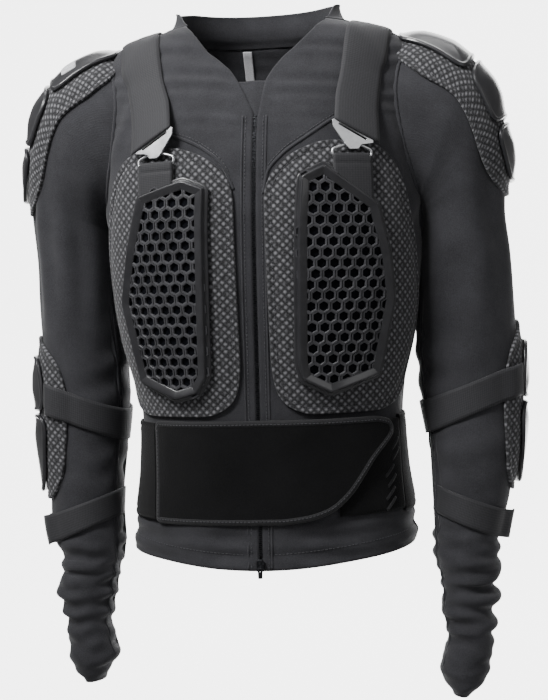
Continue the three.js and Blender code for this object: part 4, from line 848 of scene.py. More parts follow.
# Each finish: its material's name, its shader's plain numbers, its specks (size in mm, detail, roughness and share of
# the colour), its two colours and where they start and end on the share, and its relief: which speck, depth in mm
# and strength. A rough entry lets the first speck change the roughness: by how much, and from where.
FINISHES = {
    # Polyester and elastane weft knit: matt and close, with fine wales and a soft sheen at grazing light
    "stretch_jersey": {
        "name": "Stretch jersey, weft knitted",
        "shader": {
            "Roughness": 0.88, "IOR": 1.5, "Sheen Weight": 0.22, "Sheen Roughness": 0.45, "Specular IOR Level": 0.2,
        },
        "specks": [(1.1, 2.0, 0.6, 0.55), (34, 4.0, 0.6, 0.45)],
        "colours": ("323235", "4b4b4f", 0.3, 0.72),
        "relief": (0, 0.22, 0.6),
        "weave": knitted_wales,
    },
    # Woven over foam: a dark ground with pale floats that catch the light
    "jacquard": {
        "name": "Jacquard weave, polyester",
        "shader": {
            "Roughness": 0.82, "IOR": 1.5, "Sheen Weight": 0.2, "Sheen Roughness": 0.5, "Specular IOR Level": 0.3,
        },
        "specks": [(1.3, 2.0, 0.6, 0.5)],
        "colours": ("222224", "8e8e92", 0.2, 0.95),
        "relief": (0, 0.5, 0.7),
        "weave": jacquard_lattice,
    },
    # Flat woven nylon: cross ribs and a slight gloss
    "webbing_cloth": {
        "name": "Nylon webbing, woven",
        "shader": {"Roughness": 0.72, "IOR": 1.53, "Sheen Weight": 0.15, "Specular IOR Level": 0.35},
        "specks": [(2.0, 3.0, 0.6, 0.5)],
        "colours": ("2b2b2e", "3f3f42", 0.2, 0.8),
        "relief": (0, 0.2, 0.5),
        "weave": webbing_ribs,
    },
    # Takes hook tape: a brushed pile that drinks light
    "loop_pile": {
        "name": "Nylon loop pile, brushed",
        "shader": {
            "Roughness": 0.95, "IOR": 1.5, "Sheen Weight": 0.1, "Sheen Roughness": 0.6, "Specular IOR Level": 0.12,
        },
        "specks": [(1.5, 3.0, 0.7, 0.6), (45, 2.0, 0.5, 0.4)],
        "colours": ("070708", "19191b", 0.35, 0.75),
        "relief": (0, 0.6, 0.8),
    },
    # Folded over a cut edge: smoother and paler than the pile that it closes
    "binding_tape": {
        "name": "Polyester binding tape, woven",
        "shader": {"Roughness": 0.78, "IOR": 1.5, "Sheen Weight": 0.2, "Specular IOR Level": 0.3},
        "specks": [(1.2, 3.0, 0.6, 1)],
        "colours": ("1e1e20", "323234", 0.3, 0.7),
        "relief": (0, 0.25, 0.6),
    },
    # Moulded in a polished tool: dark, glossy, faintly wavy, with light rubbing
    "moulded_shell": {
        "name": "Polypropylene, injection moulded",
        "shader": {"IOR": 1.49, "Coat Weight": 0.7, "Coat Roughness": 0.16, "Specular IOR Level": 0.5},
        "specks": [(22, 4.0, 0.65, 1), (9, 1.0, 0.4, 0)],
        "colours": ("29292c", "37373a", 0.3, 0.7),
        "relief": (1, 0.12, 0.4),
        "rough": (0.22, 0.22),
    },
    # Moulded in a spark-eroded tool: the same plastic as the shells, but satin and greyer
    "moulded_comb": {
        "name": "Polypropylene, moulded satin",
        "shader": {"IOR": 1.49, "Specular IOR Level": 0.5, "Coat Weight": 0.2, "Coat Roughness": 0.35},
        "specks": [(16, 3.0, 0.6, 1), (1.2, 1.0, 0.4, 0)],
        "colours": ("3f3f42", "525256", 0.3, 0.7),
        "relief": (1, 0.05, 0.4),
        "rough": (0.2, 0.38),
    },
    # Skived from a block: black-blue and open-celled, so it hardly reflects
    "foam_sheet": {
        "name": "Polyethylene foam, skived",
        "shader": {"Roughness": 1.0, "IOR": 1.45, "Specular IOR Level": 0.1},
        "specks": [(1.4, 2.0, 0.7, 1)],
        "colours": ("0d0e12", "1c1d23", 0.3, 0.7),
        "relief": (0, 0.4, 0.8),
    },
    # Tumbled after plating: bright, with a fine satin grain and darker rubbed patches
    "stamped_steel": {
        "name": "Steel, stamped and zinc plated",
        "shader": {"Metallic": 1.0},
        "specks": [(9, 3.0, 0.6, 1), (0.8, 3.0, 0.7, 0)],
        "colours": ("c9cacd", "e9eaec", 0.3, 0.7),
        "relief": (1, 0.05, 0.4),
        "rough": (0.18, 0.22),
    },
    # Black oxidised: dull, with brighter metal where the slider has run
    "dark_zip_metal": {
        "name": "Zinc alloy, die cast and blackened",
        "shader": {"Metallic": 0.85},
        "specks": [(3, 3.0, 0.6, 1)],
        "colours": ("26272a", "55565a", 0.4, 0.8),
        "relief": (0, 0.06, 0.4),
        "rough": (-0.2, 0.55),
    },
    # White ribbon with a soft gloss
    "label_satin": {
        "name": "Polyester satin ribbon, woven",
        "shader": {"Roughness": 0.6, "IOR": 1.5, "Sheen Weight": 0.2, "Specular IOR Level": 0.4},
        "specks": [(1.0, 2.0, 0.6, 1)],
        "colours": ("c6c6ca", "e2e2e5", 0.3, 0.7),
        "relief": (0, 0.12, 0.5),
    },
    # Off-white and matt, a little grey where it is handled
    "pale_rubber": {
        "name": "Thermoplastic rubber, moulded",
        "shader": {"Roughness": 0.55, "IOR": 1.5, "Specular IOR Level": 0.35},
        "specks": [(4, 3.0, 0.6, 1)],
        "colours": ("b4b4b8", "e6e6ea", 0.25, 0.6),
        "relief": (0, 0.08, 0.4),
    },
    # Bonded: a little paler and glossier than the cloth that it holds
    "sewing_thread": {
        "name": "Nylon thread, twisted",
        "shader": {"Roughness": 0.55, "IOR": 1.53, "Sheen Weight": 0.1, "Specular IOR Level": 0.4},
        "specks": [(0.9, 2.0, 0.5, 1)],
        "colours": ("3c3c40", "5c5c60", 0.3, 0.7),
        "relief": (0, 0.1, 0.5),
    },
}  # fmt: skip


def finish(kind):
    """A finish, built from its row the first time that a piece asks for it."""
    row = FINISHES[kind]
    if row["name"] in bpy.data.materials:
        return bpy.data.materials[row["name"]]
    material, tree, main = new_finish(row["name"], row["shader"])
    where = add_node(tree, "ShaderNodeTexCoord").outputs["Object"]
    specks = []
    for size, detail, roughness, _ in row["specks"]:
        inputs = {"Vector": where, "Scale": 1 / (size * MM), "Detail": detail, "Roughness": roughness}
        specks.append(add_node(tree, "ShaderNodeTexNoise", inputs))
    which, depth, strength = row["relief"]
    share, relief = row["weave"](tree, specks[0]) if "weave" in row else (0.0, specks[which])
    for speck, (_, _, _, part) in zip(specks, row["specks"]):
        if part:
            share = add_node(tree, "ShaderNodeMath", {0: speck, 1: part, 2: share}, operation="MULTIPLY_ADD")
    ramp = add_node(tree, "ShaderNodeValToRGB", {"Fac": share})
    dark, light, low, high = row["colours"]
    for element, code, place in zip(ramp.color_ramp.elements, (dark, light), (low, high)):
        element.color = (*srgb(code), 1)
        element.position = place
    bump = add_node(tree, "ShaderNodeBump", {"Height": relief, "Strength": strength, "Distance": depth * MM})
    tree.links.new(ramp.outputs["Color"], main.inputs["Base Color"])
    tree.links.new(bump.outputs["Normal"], main.inputs["Normal"])
    if "rough" in row:
        gain, base = row["rough"]
        rough = add_node(tree, "ShaderNodeMath", {0: specks[0], 1: gain, 2: base}, operation="MULTIPLY_ADD")
        tree.links.new(rough.outputs["Value"], main.inputs["Roughness"])
    return material


# Cloth


def zip_line(height):
    """How far across the zip lies, at a height."""
    return np.interp(height, ZIP_LINE["height"], ZIP_LINE["across"])


def neck_edge(side, height):
    """How far out one front edge lies at a height, down the neck opening and along the closed zip."""
    closed = SIDES[side] * zip_line(height) + ZIP_OPENING / 2
    return np.where(height < NECK_EDGE["height"][0], closed, np.interp(height, NECK_EDGE["height"], NECK_EDGE[side]))


def front_angle(rows, x):
    """The angle at which the torso's front lies this far out."""
    low, high = np.full_like(rows, -0.4), np.full_like(rows, math.pi / 2)
    for _ in range(36):
        middle = (low + high) / 2
        inside = torso.at(rows, middle)[..., 0] < x
        low, high = np.where(inside, middle, low), np.where(inside, high, middle)
    return low


def seam_height(y):
    """How high the collar's seam lies, which falls towards the back."""
    return 8.5 - 0.0794 * y


def ripple(place, turn, seed, count, low_pitch, high_pitch, wander=1.0):
    """Gathered cloth: uneven rings along place that wander as they run round by turn."""
    random = np.random.default_rng(seed)
    total = np.zeros(np.broadcast(place, turn).shape)
    for _ in range(count):
        pitch = random.uniform(low_pitch, high_pitch)
        phase, drift, lobes = random.uniform(0, 2 * math.pi), random.uniform(0.4, 1.2) * wander, random.integers(1, 4)
        swing = random.uniform(0, 2 * math.pi)
        total += np.cos(2 * math.pi * place / pitch + phase + drift * np.sin(lobes * turn + swing)) / count
    return total


def crease(x, y, start, end, width, depth):
    """A soft ridge along a line between two points, with a hollow on each side."""
    a, b = np.asarray(start, float), np.asarray(end, float)
    along = b - a
    length = np.hypot(*along)
    along /= length
    dx, dy = x - a[0], y - a[1]
    run = (dx * along[0] + dy * along[1]) / length
    off = (dx * -along[1] + dy * along[0]) / width
    fade = smoothstep(run, -0.12, 0.25) * smoothstep(-run, -1.12, -0.75)
    return depth * fade * (1 - off**2) * np.exp(-(off**2))


def torso_folds(x, z, back):
    """How far the cloth of the body stands off the worn form, by place across and height."""
    out = np.zeros_like(x)
    chest = smoothstep(z, -125, -85) * smoothstep(-z, -20, 25)
    out += 1.0 * chest * ripple(z + 0.1 * x, x / 60, 11, 3, 12, 20, 0.8)
    waist = smoothstep(-z, 380, 400) * smoothstep(z, -520, -490)
    out += 0.6 * waist * ripple(z + 0.15 * np.abs(x), x / 50, 12, 3, 24, 44)
    hem = smoothstep(-z, 488, 508)
    out += 1.8 * hem * ripple(z, x / 45, 13, 3, 12, 20, 0.9)
    out += 2.2 * hem * ripple(x, z / 30, 14, 3, 60, 110)
    for mirror in (-1, 1):
        m = mirror * x
        out += crease(m, z, (165, -165), (128, -250), 7, 3.2)
        out += crease(m, z, (166, -205), (140, -320), 8, 2.8)
        out += crease(m, z, (160, -255), (132, -350), 7, 1.4)
        out += crease(m, z, (118, -60), (150, -130), 8, 2.2)
    return np.where(back, 0.7 * out + 1.2 * ripple(z, x / 70, 15, 3, 60, 120) * smoothstep(-z, 60, 130), out)


def body_sheet(rows, columns):
    """Rows, angles and heights of the body's cloth, from one front edge round the back to the other."""
    heights = np.linspace(0, 1, rows)
    level = 14 + (-BODY_LENGTH - 14) * heights
    left = front_angle(torso_rows(level), neck_edge("left", level))
    right = front_angle(torso_rows(level), neck_edge("right", level))
    share = np.linspace(0, 1, columns)
    angle = left[:, None] + share[None, :] * (2 * math.pi - left - right)[:, None]
    row = np.repeat(torso_rows(level)[:, None], columns, axis=1)
    top = seam_height(torso.at(row, angle)[..., 1])
    hem = -BODY_LENGTH + HEM_RISE * np.sin(angle) ** 2
    z = top + (hem - top) * heights[:, None]
    return torso_rows(z), angle, z


def sleeve_start(side, angles):
    """The row at which the sleeve comes out of the body, at each angle."""
    rows = np.linspace(0, 8, 400)
    points = arms[side].lift(rows[:, None], angles[None, :], JERSEY_WALL)
    body_row = torso_rows(points[..., 2])
    around = np.arctan2(points[..., 0], -points[..., 1])
    wall = torso.at(body_row, around)
    outside = np.hypot(points[..., 0], points[..., 1]) > np.hypot(wall[..., 0], wall[..., 1]) + JERSEY_WALL
    outside |= points[..., 2] > 2
    last_inside = len(rows) - 1 - np.argmax(~outside[::-1], axis=0)
    return rows[np.where((~outside).any(axis=0), last_inside, 0)]


def make_body(context):
    """The jersey body, open down the front and at both armholes."""
    settings = context.scene.jacket_cloth
    wall = settings.wall / MM
    row, angle, z = body_sheet(190, 230)
    base = torso.at(row, angle)
    back = base[..., 1] > 6
    fold = settings.fold_depth / MM * torso_folds(base[..., 0], z, back)
    edge = np.minimum(np.arange(230), np.arange(230)[::-1])[None, :]
    fold = fold * smoothstep(edge, 0, 8)
    hem = np.max(-z, axis=0)[None, :] + z
    fold -= 0.8 * np.exp(-(((hem - 16) / 2.6) ** 2))
    outer = torso.lift(row, angle, wall + fold)
    inner = torso.lift(row, angle, fold)
    girth = np.cumsum(np.linalg.norm(np.diff(base, axis=1, prepend=base[:, :1]), axis=2), axis=1)
    cloth = np.stack([girth, -z], axis=-1)
    obj = closed_patch("jersey_body", outer, inner, finish("stretch_jersey"), cloth, armhole_cells(base))
    place_piece(obj, "jersey", "back_panel", "front_panel_right", "front_panel_left")
    return obj


def armhole_cells(points):
    """The cells of the body's grid that lie outside both armholes."""
    middle = (points[:-1, :-1] + points[1:, 1:]) / 2
    keep = np.ones(middle.shape[:2], bool)
    for side, sign in SIDES.items():
        angles = np.linspace(0, 2 * math.pi, 120, endpoint=False)
        loop = arms[side].at(sleeve_start(side, angles), angles)[:, 1:]
        loop = loop.mean(axis=0) + (loop - loop.mean(axis=0)) * 0.93
        near = (middle[..., 0] * sign > 90) & (middle[..., 2] < -12) & (middle[..., 2] > -240)
        for r, c in np.argwhere(near):
            keep[r, c] = not inside_outline(middle[r, c, 1:], loop)
    return keep


def make_collar(context):
    """The stand-up collar, double cloth with a rolled top edge."""
    rows, columns = 26, 200
    t = np.linspace(0, 1, rows)
    level = 13 + (COLLAR_HEIGHT - 13) * t
    left = front_angle(torso_rows(level), np.minimum(neck_edge("left", level), 83.2))
    right = front_angle(torso_rows(level), np.minimum(neck_edge("right", level), 83.2))
    share = np.linspace(0, 1, columns)
    angle = left[:, None] + share[None, :] * (2 * math.pi - left - right)[:, None]
    row = np.repeat(torso_rows(level)[:, None], columns, axis=1)
    foot = seam_height(torso.at(row, angle)[..., 1]) + 0.4
    tip = np.exp(-np.minimum(np.arange(columns), np.arange(columns)[::-1]) / 2.2)[None, :]
    top = COLLAR_HEIGHT - 6.5 * smoothstep(np.cos(angle), -0.45, 0.1) - 2 * tip
    z = foot + (top - foot) * t[:, None]
    row = torso_rows(z)
    roll = 0.9 * np.exp(-(((t - 1) / 0.06) ** 2))[:, None] * (1 - tip) + 0.4 * np.exp(-((t / 0.08) ** 2))[:, None]
    wave = 0.5 * ripple(angle * 60, z / 20, 21, 3, 30, 60) * (1 - tip)
    outer = torso.lift(row, angle, 2.2 + roll + wave)
    inner = torso.lift(row, angle, -0.2 - 0.5 * roll + wave)
    obj = closed_patch("jersey_collar", outer, inner, finish("stretch_jersey"), np.stack([angle * 80, z], axis=-1))
    return place_piece(obj, "jersey", "collar")


def make_sleeves(context):
    """Both sleeves, gathered at the forearm, with their narrow cuffs."""
    settings = context.scene.jacket_cloth
    wall = settings.wall / MM
    for side in SIDES:
        columns = 132
        angles = np.linspace(0, 2 * math.pi, columns, endpoint=False)
        start = np.maximum(sleeve_start(side, angles) - 0.06, 0)
        share = np.linspace(0, 1, 300)[:, None]
        row = start[None, :] + (arms[side].last - start)[None, :] * share
        angle = np.repeat(angles[None, :], 300, axis=0)
        base = arms[side].at(row, angle)
        z = base[..., 2]
        fold = np.zeros_like(z)
        gather = smoothstep(-z, 490, 530) * smoothstep(z, -655, -625)
        fold += 3.8 * gather * ripple(z, angle, 31 + SIDES[side], 4, 14, 24, 1.3)
        fold += 2.4 * smoothstep(-z, 285, 330) * smoothstep(z, -500, -440) * ripple(z, angle, 41, 3, 26, 44, 1.4) * (
            0.35 + 0.65 * smoothstep(-np.cos(angle), -0.3, 0.8)
        )
        drape = smoothstep(-z, 90, 150) * smoothstep(z, -330, -250)
        fold += 3.8 * drape * ripple(angle * 45, z / 90, 51 + SIDES[side], 3, 26, 48, 0.8)
        fold += 0.8 * smoothstep(-z, 630, 650) * ripple(z, angle, 61, 3, 10, 16)
        fold *= settings.fold_depth / MM * smoothstep(share, 0.0, 0.05)
        outer = arms[side].lift(row, angle, wall + fold)
        inner = arms[side].lift(row, angle, fold)
        around = angle * 46
        obj = closed_tube(
            f"jersey_sleeve_{side}", outer, inner, finish("stretch_jersey"), np.stack([around, -z], axis=-1)
        )
        place_piece(obj, "jersey", f"sleeve_{side}", f"cuff_{side}")


# Pads


PAD_SEAM = 7  # from a pad's border in to the dip of its stitches
PAD_SWELL = 1.4  # how much of a pad's height the cloth simulation gives


def make_pad(name, outline, place, count, node):
    """One padded panel: a low sewn border with a dip at its stitches, and a filled middle."""
    grid = filled(outline, *count)
    distance = inwards(grid, outline)
    edge, full = PAD_LIFT + 3.0, PAD_FULL - PAD_SWELL
    seam = np.exp(-(((distance - PAD_SEAM) / 1.6) ** 2))
    high = edge + (full - edge) * smoothstep(distance, PAD_SEAM + 0.5, 20) - 0.9 * seam
    top = place(grid, high)
    bottom = place(grid, np.full_like(high, PAD_LIFT - 0.4))
    obj = closed_patch(name, top, bottom, finish("jacquard"), grid)
    held = np.stack([np.ones_like(distance), 1 - smoothstep(distance, 8, 14)])
    puffed(obj, held, 1.6)
    place_piece(obj, "patterned", node)
    return obj


def chest_place(side):
    return lambda grid, lift: on_chest(SIDES[side] * grid[..., 0], -grid[..., 1], lift)


def chest_outline():
    near, far = (lambda cut, key=key: CHEST_PAD_INSET + cut[key] * CHEST_PAD_WIDTH for key in ("near", "far"))
    return table_outline(CHEST_PAD, "down", near, far, CHEST_PAD_HEIGHT, 6.0) + np.array([0, CHEST_PAD_TOP])


def make_chest_pads(context):
    """The two padded chest panels."""
    for side in SIDES:
        make_pad(f"padding_chest_{side}", chest_outline(), chest_place(side), (66, 50), f"chest_pad_{side}")


def arm_outline(table, top, length, width):
    return table_outline(
        table, "along", lambda cut: -cut["half"] * width / 2, lambda cut: cut["half"] * width / 2, length, 5.0
    ) + np.array([0, top])


def elbow_place(side):
    turn = -math.radians(ELBOW_TURN[side])
    return lambda grid, lift: on_arm(side, grid[..., 1], grid[..., 0], lift, turn)


def shoulder_place(side):
    return lambda grid, lift: on_arm(side, grid[..., 1], grid[..., 0], lift)


def elbow_top(side):
    return arm_distance(side, -ELBOW_PAD_TOP)


def arm_pads(side):
    """The arm pads of one side: name, outline, place and grid."""
    shoulder = arm_outline(SHOULDER_PAD, 0, SHOULDER_PAD_LENGTH, SHOULDER_PAD_WIDTH)
    elbow = arm_outline(ELBOW_PAD, elbow_top(side), ELBOW_PAD_LENGTH, ELBOW_PAD_WIDTH)
    return [("shoulder", shoulder, shoulder_place(side), (58, 42)), ("elbow", elbow, elbow_place(side), (48, 36))]


def make_arm_pads(context):
    """The padded panels on shoulders and elbows."""
    for side in SIDES:
        for name, outline, place, count in arm_pads(side):
            make_pad(f"padding_{name}_{side}", outline, place, count, f"{name}_pad_{side}")


# Shells


def shell_outline(start, end, neck_width, arm_width, top, length, width):
    """A shell's outline: shares of the pad's length and of the shell's width, at its neck and arm ends."""
    rows = np.linspace(0, 1, 40)
    taper = 1 - 0.22 * np.exp(-rows / 0.09) - 0.2 * np.exp(-(1 - rows) / 0.09)
    half = (neck_width + (arm_width - neck_width) * rows) * taper * width / 2
    down = top + (start + (end - start) * rows) * length
    points = np.vstack([np.stack([half, down], 1), np.stack([-half, down], 1)[::-1]])
    return even_outline(points, soften=5.0)


def shell_height(distance):
    """A shell's height over the pad, by distance from its edge: a raised lip, then a broad crown."""
    lip = 1.4 * smoothstep(distance, 0, 1.8) - 0.9 * smoothstep(distance, 2.6, 3.6)
    return 2.2 + lip + 2.8 * smoothstep(distance, 3.4, 26)


SHELL_GAP = 0.15  # between a pad's full height and the shell on it


def make_shell(name, outline, place, node):
    """One hard shell: a crowned sheet with a raised lip, on its pad."""
    grid = filled(outline, 44, 44, 0.6)
    distance = inwards(grid, outline)
    low = PAD_FULL + SHELL_GAP
    top = place(grid, low + shell_height(distance))
    bottom = place(grid, low + 2.2 * smoothstep(distance, 3.4, 26))
    obj = closed_patch(name, top, bottom, finish("moulded_shell"), grid)
    return place_piece(smoothed(obj), "moulded", node)


def shoulder_shells():
    """The name and outline of each shoulder shell, from the neck down."""
    return [(name, shell_outline(*cut, 0, SHOULDER_PAD_LENGTH, SHOULDER_CAP_WIDTH)) for name, *cut in SHOULDER_CAPS]


def make_shells(context):
    """The hard shells on shoulders and elbows."""
    for side in SIDES:
        for name, outline in shoulder_shells():
            make_shell(f"shell_shoulder_{name}_{side}", outline, shoulder_place(side), f"shoulder_shell_{name}_{side}")
        for name, *cut in ELBOW_CAPS:
            outline = shell_outline(*cut, elbow_top(side), ELBOW_PAD_LENGTH, ELBOW_CAP_WIDTH)
            make_shell(f"shell_elbow_{name}_{side}", outline, elbow_place(side), f"elbow_shell_{name}_{side}")
    make_patch()


def make_patch():
    """A plain pale rubber patch on one shoulder's top shell."""
    _, shell = shoulder_shells()[0]
    middle = np.array([27.0, 62.0])
    outline = even_outline(middle + np.array([(-7, -8), (6, -9), (7.5, 8), (-6, 9)], float), 100, 1.0)
    grid = filled(outline, 14, 14, 0.4)
    height = PAD_FULL + SHELL_GAP + shell_height(inwards(grid, shell))
    edge = 0.5 * smoothstep(inwards(grid, outline), 0, 1.2)
    place = shoulder_place("right")
    patch = closed_patch(
        "patch_shoulder", place(grid, height + 0.3 + edge), place(grid, height - 0.5), finish("pale_rubber"), grid
    )
    place_piece(patch, "moulded")


# Chest plates

RIM_PROFILE = [
    (0.0, 9.9), (0.0, 12.0), (0.4, 12.6), (2.2, 12.9), (2.8, 12.6), (3.3, 13.2), (4.6, 16.6), (5.2, 17.3),
    (6.2, 17.5), (11.8, 14.9), (12.4, 14.6), (12.7, 14.0), (12.7, 11.9), (11.0, 11.9), (5.4, 13.4), (2.4, 11.6),
    (1.4, 9.9),
]  # fmt: skip


def ring_from_profile(name, outline, profile, place, material):
    """A closed ring whose cross-section follows an outline, as inset and lift pairs."""
    count = len(outline)
    vertices = [place(inset(outline, distance), np.full(count, float(lift))) for distance, lift in profile]
    vertices = np.stack(vertices, axis=1).reshape(-1, 3)
    return face_outwards(new_object(name, vertices, ring_faces(count, len(profile), True), material))


def hex_cell(across, wall, depth):
    """One cell of the honeycomb: a hollow six-sided collar with a chamfered mouth."""
    pitch = across + wall
    rings = [
        (pitch / 2 + 0.05, 0), (pitch / 2 + 0.05, depth), (across / 2 + 0.55, depth - 0.1),
        (across / 2, depth - 0.8), (across / 2, 0),
    ]
    vertices = []
    for flat, height in rings:
        reach = flat / math.cos(math.pi / 6)
        for k in range(6):
            angle = math.pi / 6 + k * math.pi / 3
            vertices.append((reach * math.cos(angle), reach * math.sin(angle), height))
    return face_outwards(new_object("honeycomb cell", vertices, ring_faces(5, 6, True), None, smooth=False))


def surface_axes(place, point, lift):
    """Across, along and outward axes of a place on the body, for small solids that stand on it."""
    step = np.array([[0.0, 0], [1, 0], [0, -1]]) + point
    origin, right, up = place(step, np.full(3, float(lift)))
    across = unit_vectors(right - origin)
    out = unit_vectors(np.cross(across, up - origin))
    return origin, out, across


def make_chest_plates(context):
    """The pierced chest plates: a raised rim round a honeycomb, over dark foam."""
    settings = context.scene.jacket_shells
    across, wall = settings.hole / MM, settings.web / MM
    pitch = across + wall
    for side in SIDES:
        outline = even_outline(np.array(CHEST_PLATE[side], float), 240, 3.2)
        place = chest_place(side)
        rim = ring_from_profile(f"plate_rim_{side}", outline, RIM_PROFILE, place, finish("moulded_shell"))
        place_piece(smoothed(rim), "moulded", f"chest_plate_{side}")
        low, high = outline.min(axis=0), outline.max(axis=0)
        spots = []
        rise = pitch * math.cos(math.pi / 6)
        for r in range(int((high[1] - low[1]) / rise) + 1):
            for c in range(int((high[0] - low[0]) / pitch) + 2):
                spots.append((low[0] + (c + (r % 2) / 2) * pitch, low[1] + 4 + r * rise))
        spots = np.array(spots)
        depth = inwards(spots, outline)
        within = np.array([inside_outline(spot, outline) for spot in spots])
        spots = spots[within & (depth > 6.2)]
        points, turns = [], []
        for spot in spots:
            origin, out, right = surface_axes(place, spot, 11.6)
            if SIDES[side] < 0:
                out = -out
            points.append(origin)
            turns.append((right, np.cross(out, right), out))
        cell = hex_cell(across, wall, 3.0)
        comb = repeat_on_points(f"honeycomb_{side}", points, turns, cell, finish("moulded_comb"))
        place_piece(comb, "moulded")
        foam = filled(even_outline(outline.mean(0) + (outline - outline.mean(0)) * 0.9, soften=6), 30, 24)
        cushion = closed_patch(
            f"foam_liner_{side}", place(foam, np.full(foam.shape[:2], 11.2)), place(foam, np.full(foam.shape[:2], 9.3)),
            finish("foam_sheet"), foam,
        )
        place_piece(cushion, "foam", f"plate_liner_{side}")


def inside_outline(point, outline):
    """Whether a point lies inside a closed outline."""
    x, y = point
    x0, y0 = outline[:, 0], outline[:, 1]
    x1, y1 = np.roll(x0, 1), np.roll(y0, 1)
    crossing = ((y0 > y) != (y1 > y)) & (x < (x1 - x0) * (y - y0) / np.where(y1 == y0, 1e-9, y1 - y0) + x0)
    return crossing.sum() % 2 == 1


# Straps and metal


def lifted_strip(name, low, high, count, material, width):
    """A strip through stations given at a lower and an upper face."""
    bottom, top = smooth_through(low, count), smooth_through(high, count)
    run = run_along(top.mean(axis=1))
    columns = low.shape[1]
    cloth = np.stack(np.meshgrid(np.linspace(-width / 2, width / 2, columns), run), axis=-1)
    return closed_patch(name, top, bottom, material, cloth)


def make_shoulder_straps(context):
    """The webbing straps from the chest buckles over the shoulders to the belt."""
    settings = context.scene.jacket_straps
    width, thick = settings.width / MM, settings.thickness / MM
    reach = {"front": STRAP_FRONT_DROP, "top": STRAP_TOP_DEPTH, "back": BELT_TOP}
    share = np.linspace(-1, 1, 11)
    thin = 1 - 0.35 * np.abs(share) ** 8
    for side, sign in SIDES.items():
        low, high = [], []
        for index, (face, across, place) in enumerate(STRAP_ROUTE):
            lean = STRAP_LEAN[index] if index < len(STRAP_LEAN) else 0
            x = sign * (across * STRAP_SPREAD - lean * STRAP_INWARD[side] + share * width / 2)
            lift = (14.9, 6.5)[index] if index < 2 else 3.2
            spot = place * reach[face] + lean * (6 + 12 * share)
            low.append(on_torso(face, x, spot, np.full_like(x, lift)))
            high.append(on_torso(face, x, spot, lift + thick * thin))
        strap = lifted_strip(
            f"strap_shoulder_{side}", np.array(low), np.array(high), 190, finish("webbing_cloth"), width
        )
        place_piece(strap, "webbing", f"shoulder_strap_{side}")


ARM_STRAPS = [("elbow", 33, 0.535, 0.592), ("forearm", 28, 0.752, 0.712)]


def make_arm_straps(context):
    """The webbing straps round elbows and forearms."""
    for side in SIDES:
        rows, _, heights = OUTER[side]
        turn = -math.radians(ELBOW_TURN[side])
        form = arms[side]
        for name, width, outer, inner in ARM_STRAPS:
            row = np.interp(outer * SLEEVE_DROP, -heights, rows)
            share = (arm_distance(side, -outer * SLEEVE_DROP) - elbow_top(side)) / ELBOW_PAD_LENGTH
            half = float(read_rows(ELBOW_PAD, find_rows(ELBOW_PAD, "along", share))["half"]) * ELBOW_PAD_WIDTH / 2
            cover = ELBOW_CAP_WIDTH / 2 - 4 if name == "elbow" else half - 16
            start = float(form.angles(row, cover, turn))
            edge = float(form.angles(row, half + 7, turn))
            end = 2 * math.pi + 2 * turn - start
            angle = np.linspace(start, end, 90)
            middle = (outer + (inner - outer) * (1 - np.cos(angle)) / 2) * SLEEVE_DROP
            bands = np.linspace(-1, 1, 9)
            z = -middle[:, None] - bands[None, :] * width / 2
            place, around = np.interp(-z, -heights, rows), np.repeat(angle[:, None], 9, axis=1)
            over = np.minimum(angle - start, end - angle)
            climb = 6.2 * (1 - smoothstep(over, 0.35 * (edge - start), edge - start))
            wave = 0.5 * np.sin(angle * 5 + SIDES[side])[:, None] * bands[None, :]
            low, high = (form.lift(place, around, k + climb[:, None] + 0.3 * wave) for k in (3.0, 4.7))
            cloth = np.stack(np.meshgrid(bands * width / 2, angle * 42), axis=-1)
            strap = closed_patch(f"strap_{name}_{side}", high, low, finish("webbing_cloth"), cloth)
            place_piece(strap, "webbing", f"{name}_strap_{side}")


BUCKLE_LENGTH = 40
BUCKLE_HEIGHT = 31.5
BUCKLE_PLACE = {"right": 90, "left": 99}
BUCKLE_TOP = 102
WIRE_RADIUS = 1.4
TAB_WIDTH = 34
RING_BASE = 9.5


def buckle_frame(side):
    """The axes of a buckle: x outwards, y up, z away from the chest."""
    sign = SIDES[side]
    centre = BUCKLE_PLACE[side]

    def spot(x, drop):
        return on_torso("front", np.array([sign * x]), np.array([float(drop)]), np.array([RING_BASE]))[0]

    origin = spot(centre, BUCKLE_TOP)
    up = unit_vectors(origin - spot(centre, BUCKLE_TOP + BUCKLE_LENGTH))
    right = (spot(centre + 10, BUCKLE_TOP) - spot(centre - 10, BUCKLE_TOP)) * sign
    away = unit_vectors(np.cross(right, up))
    return origin, np.cross(up, away), up, away


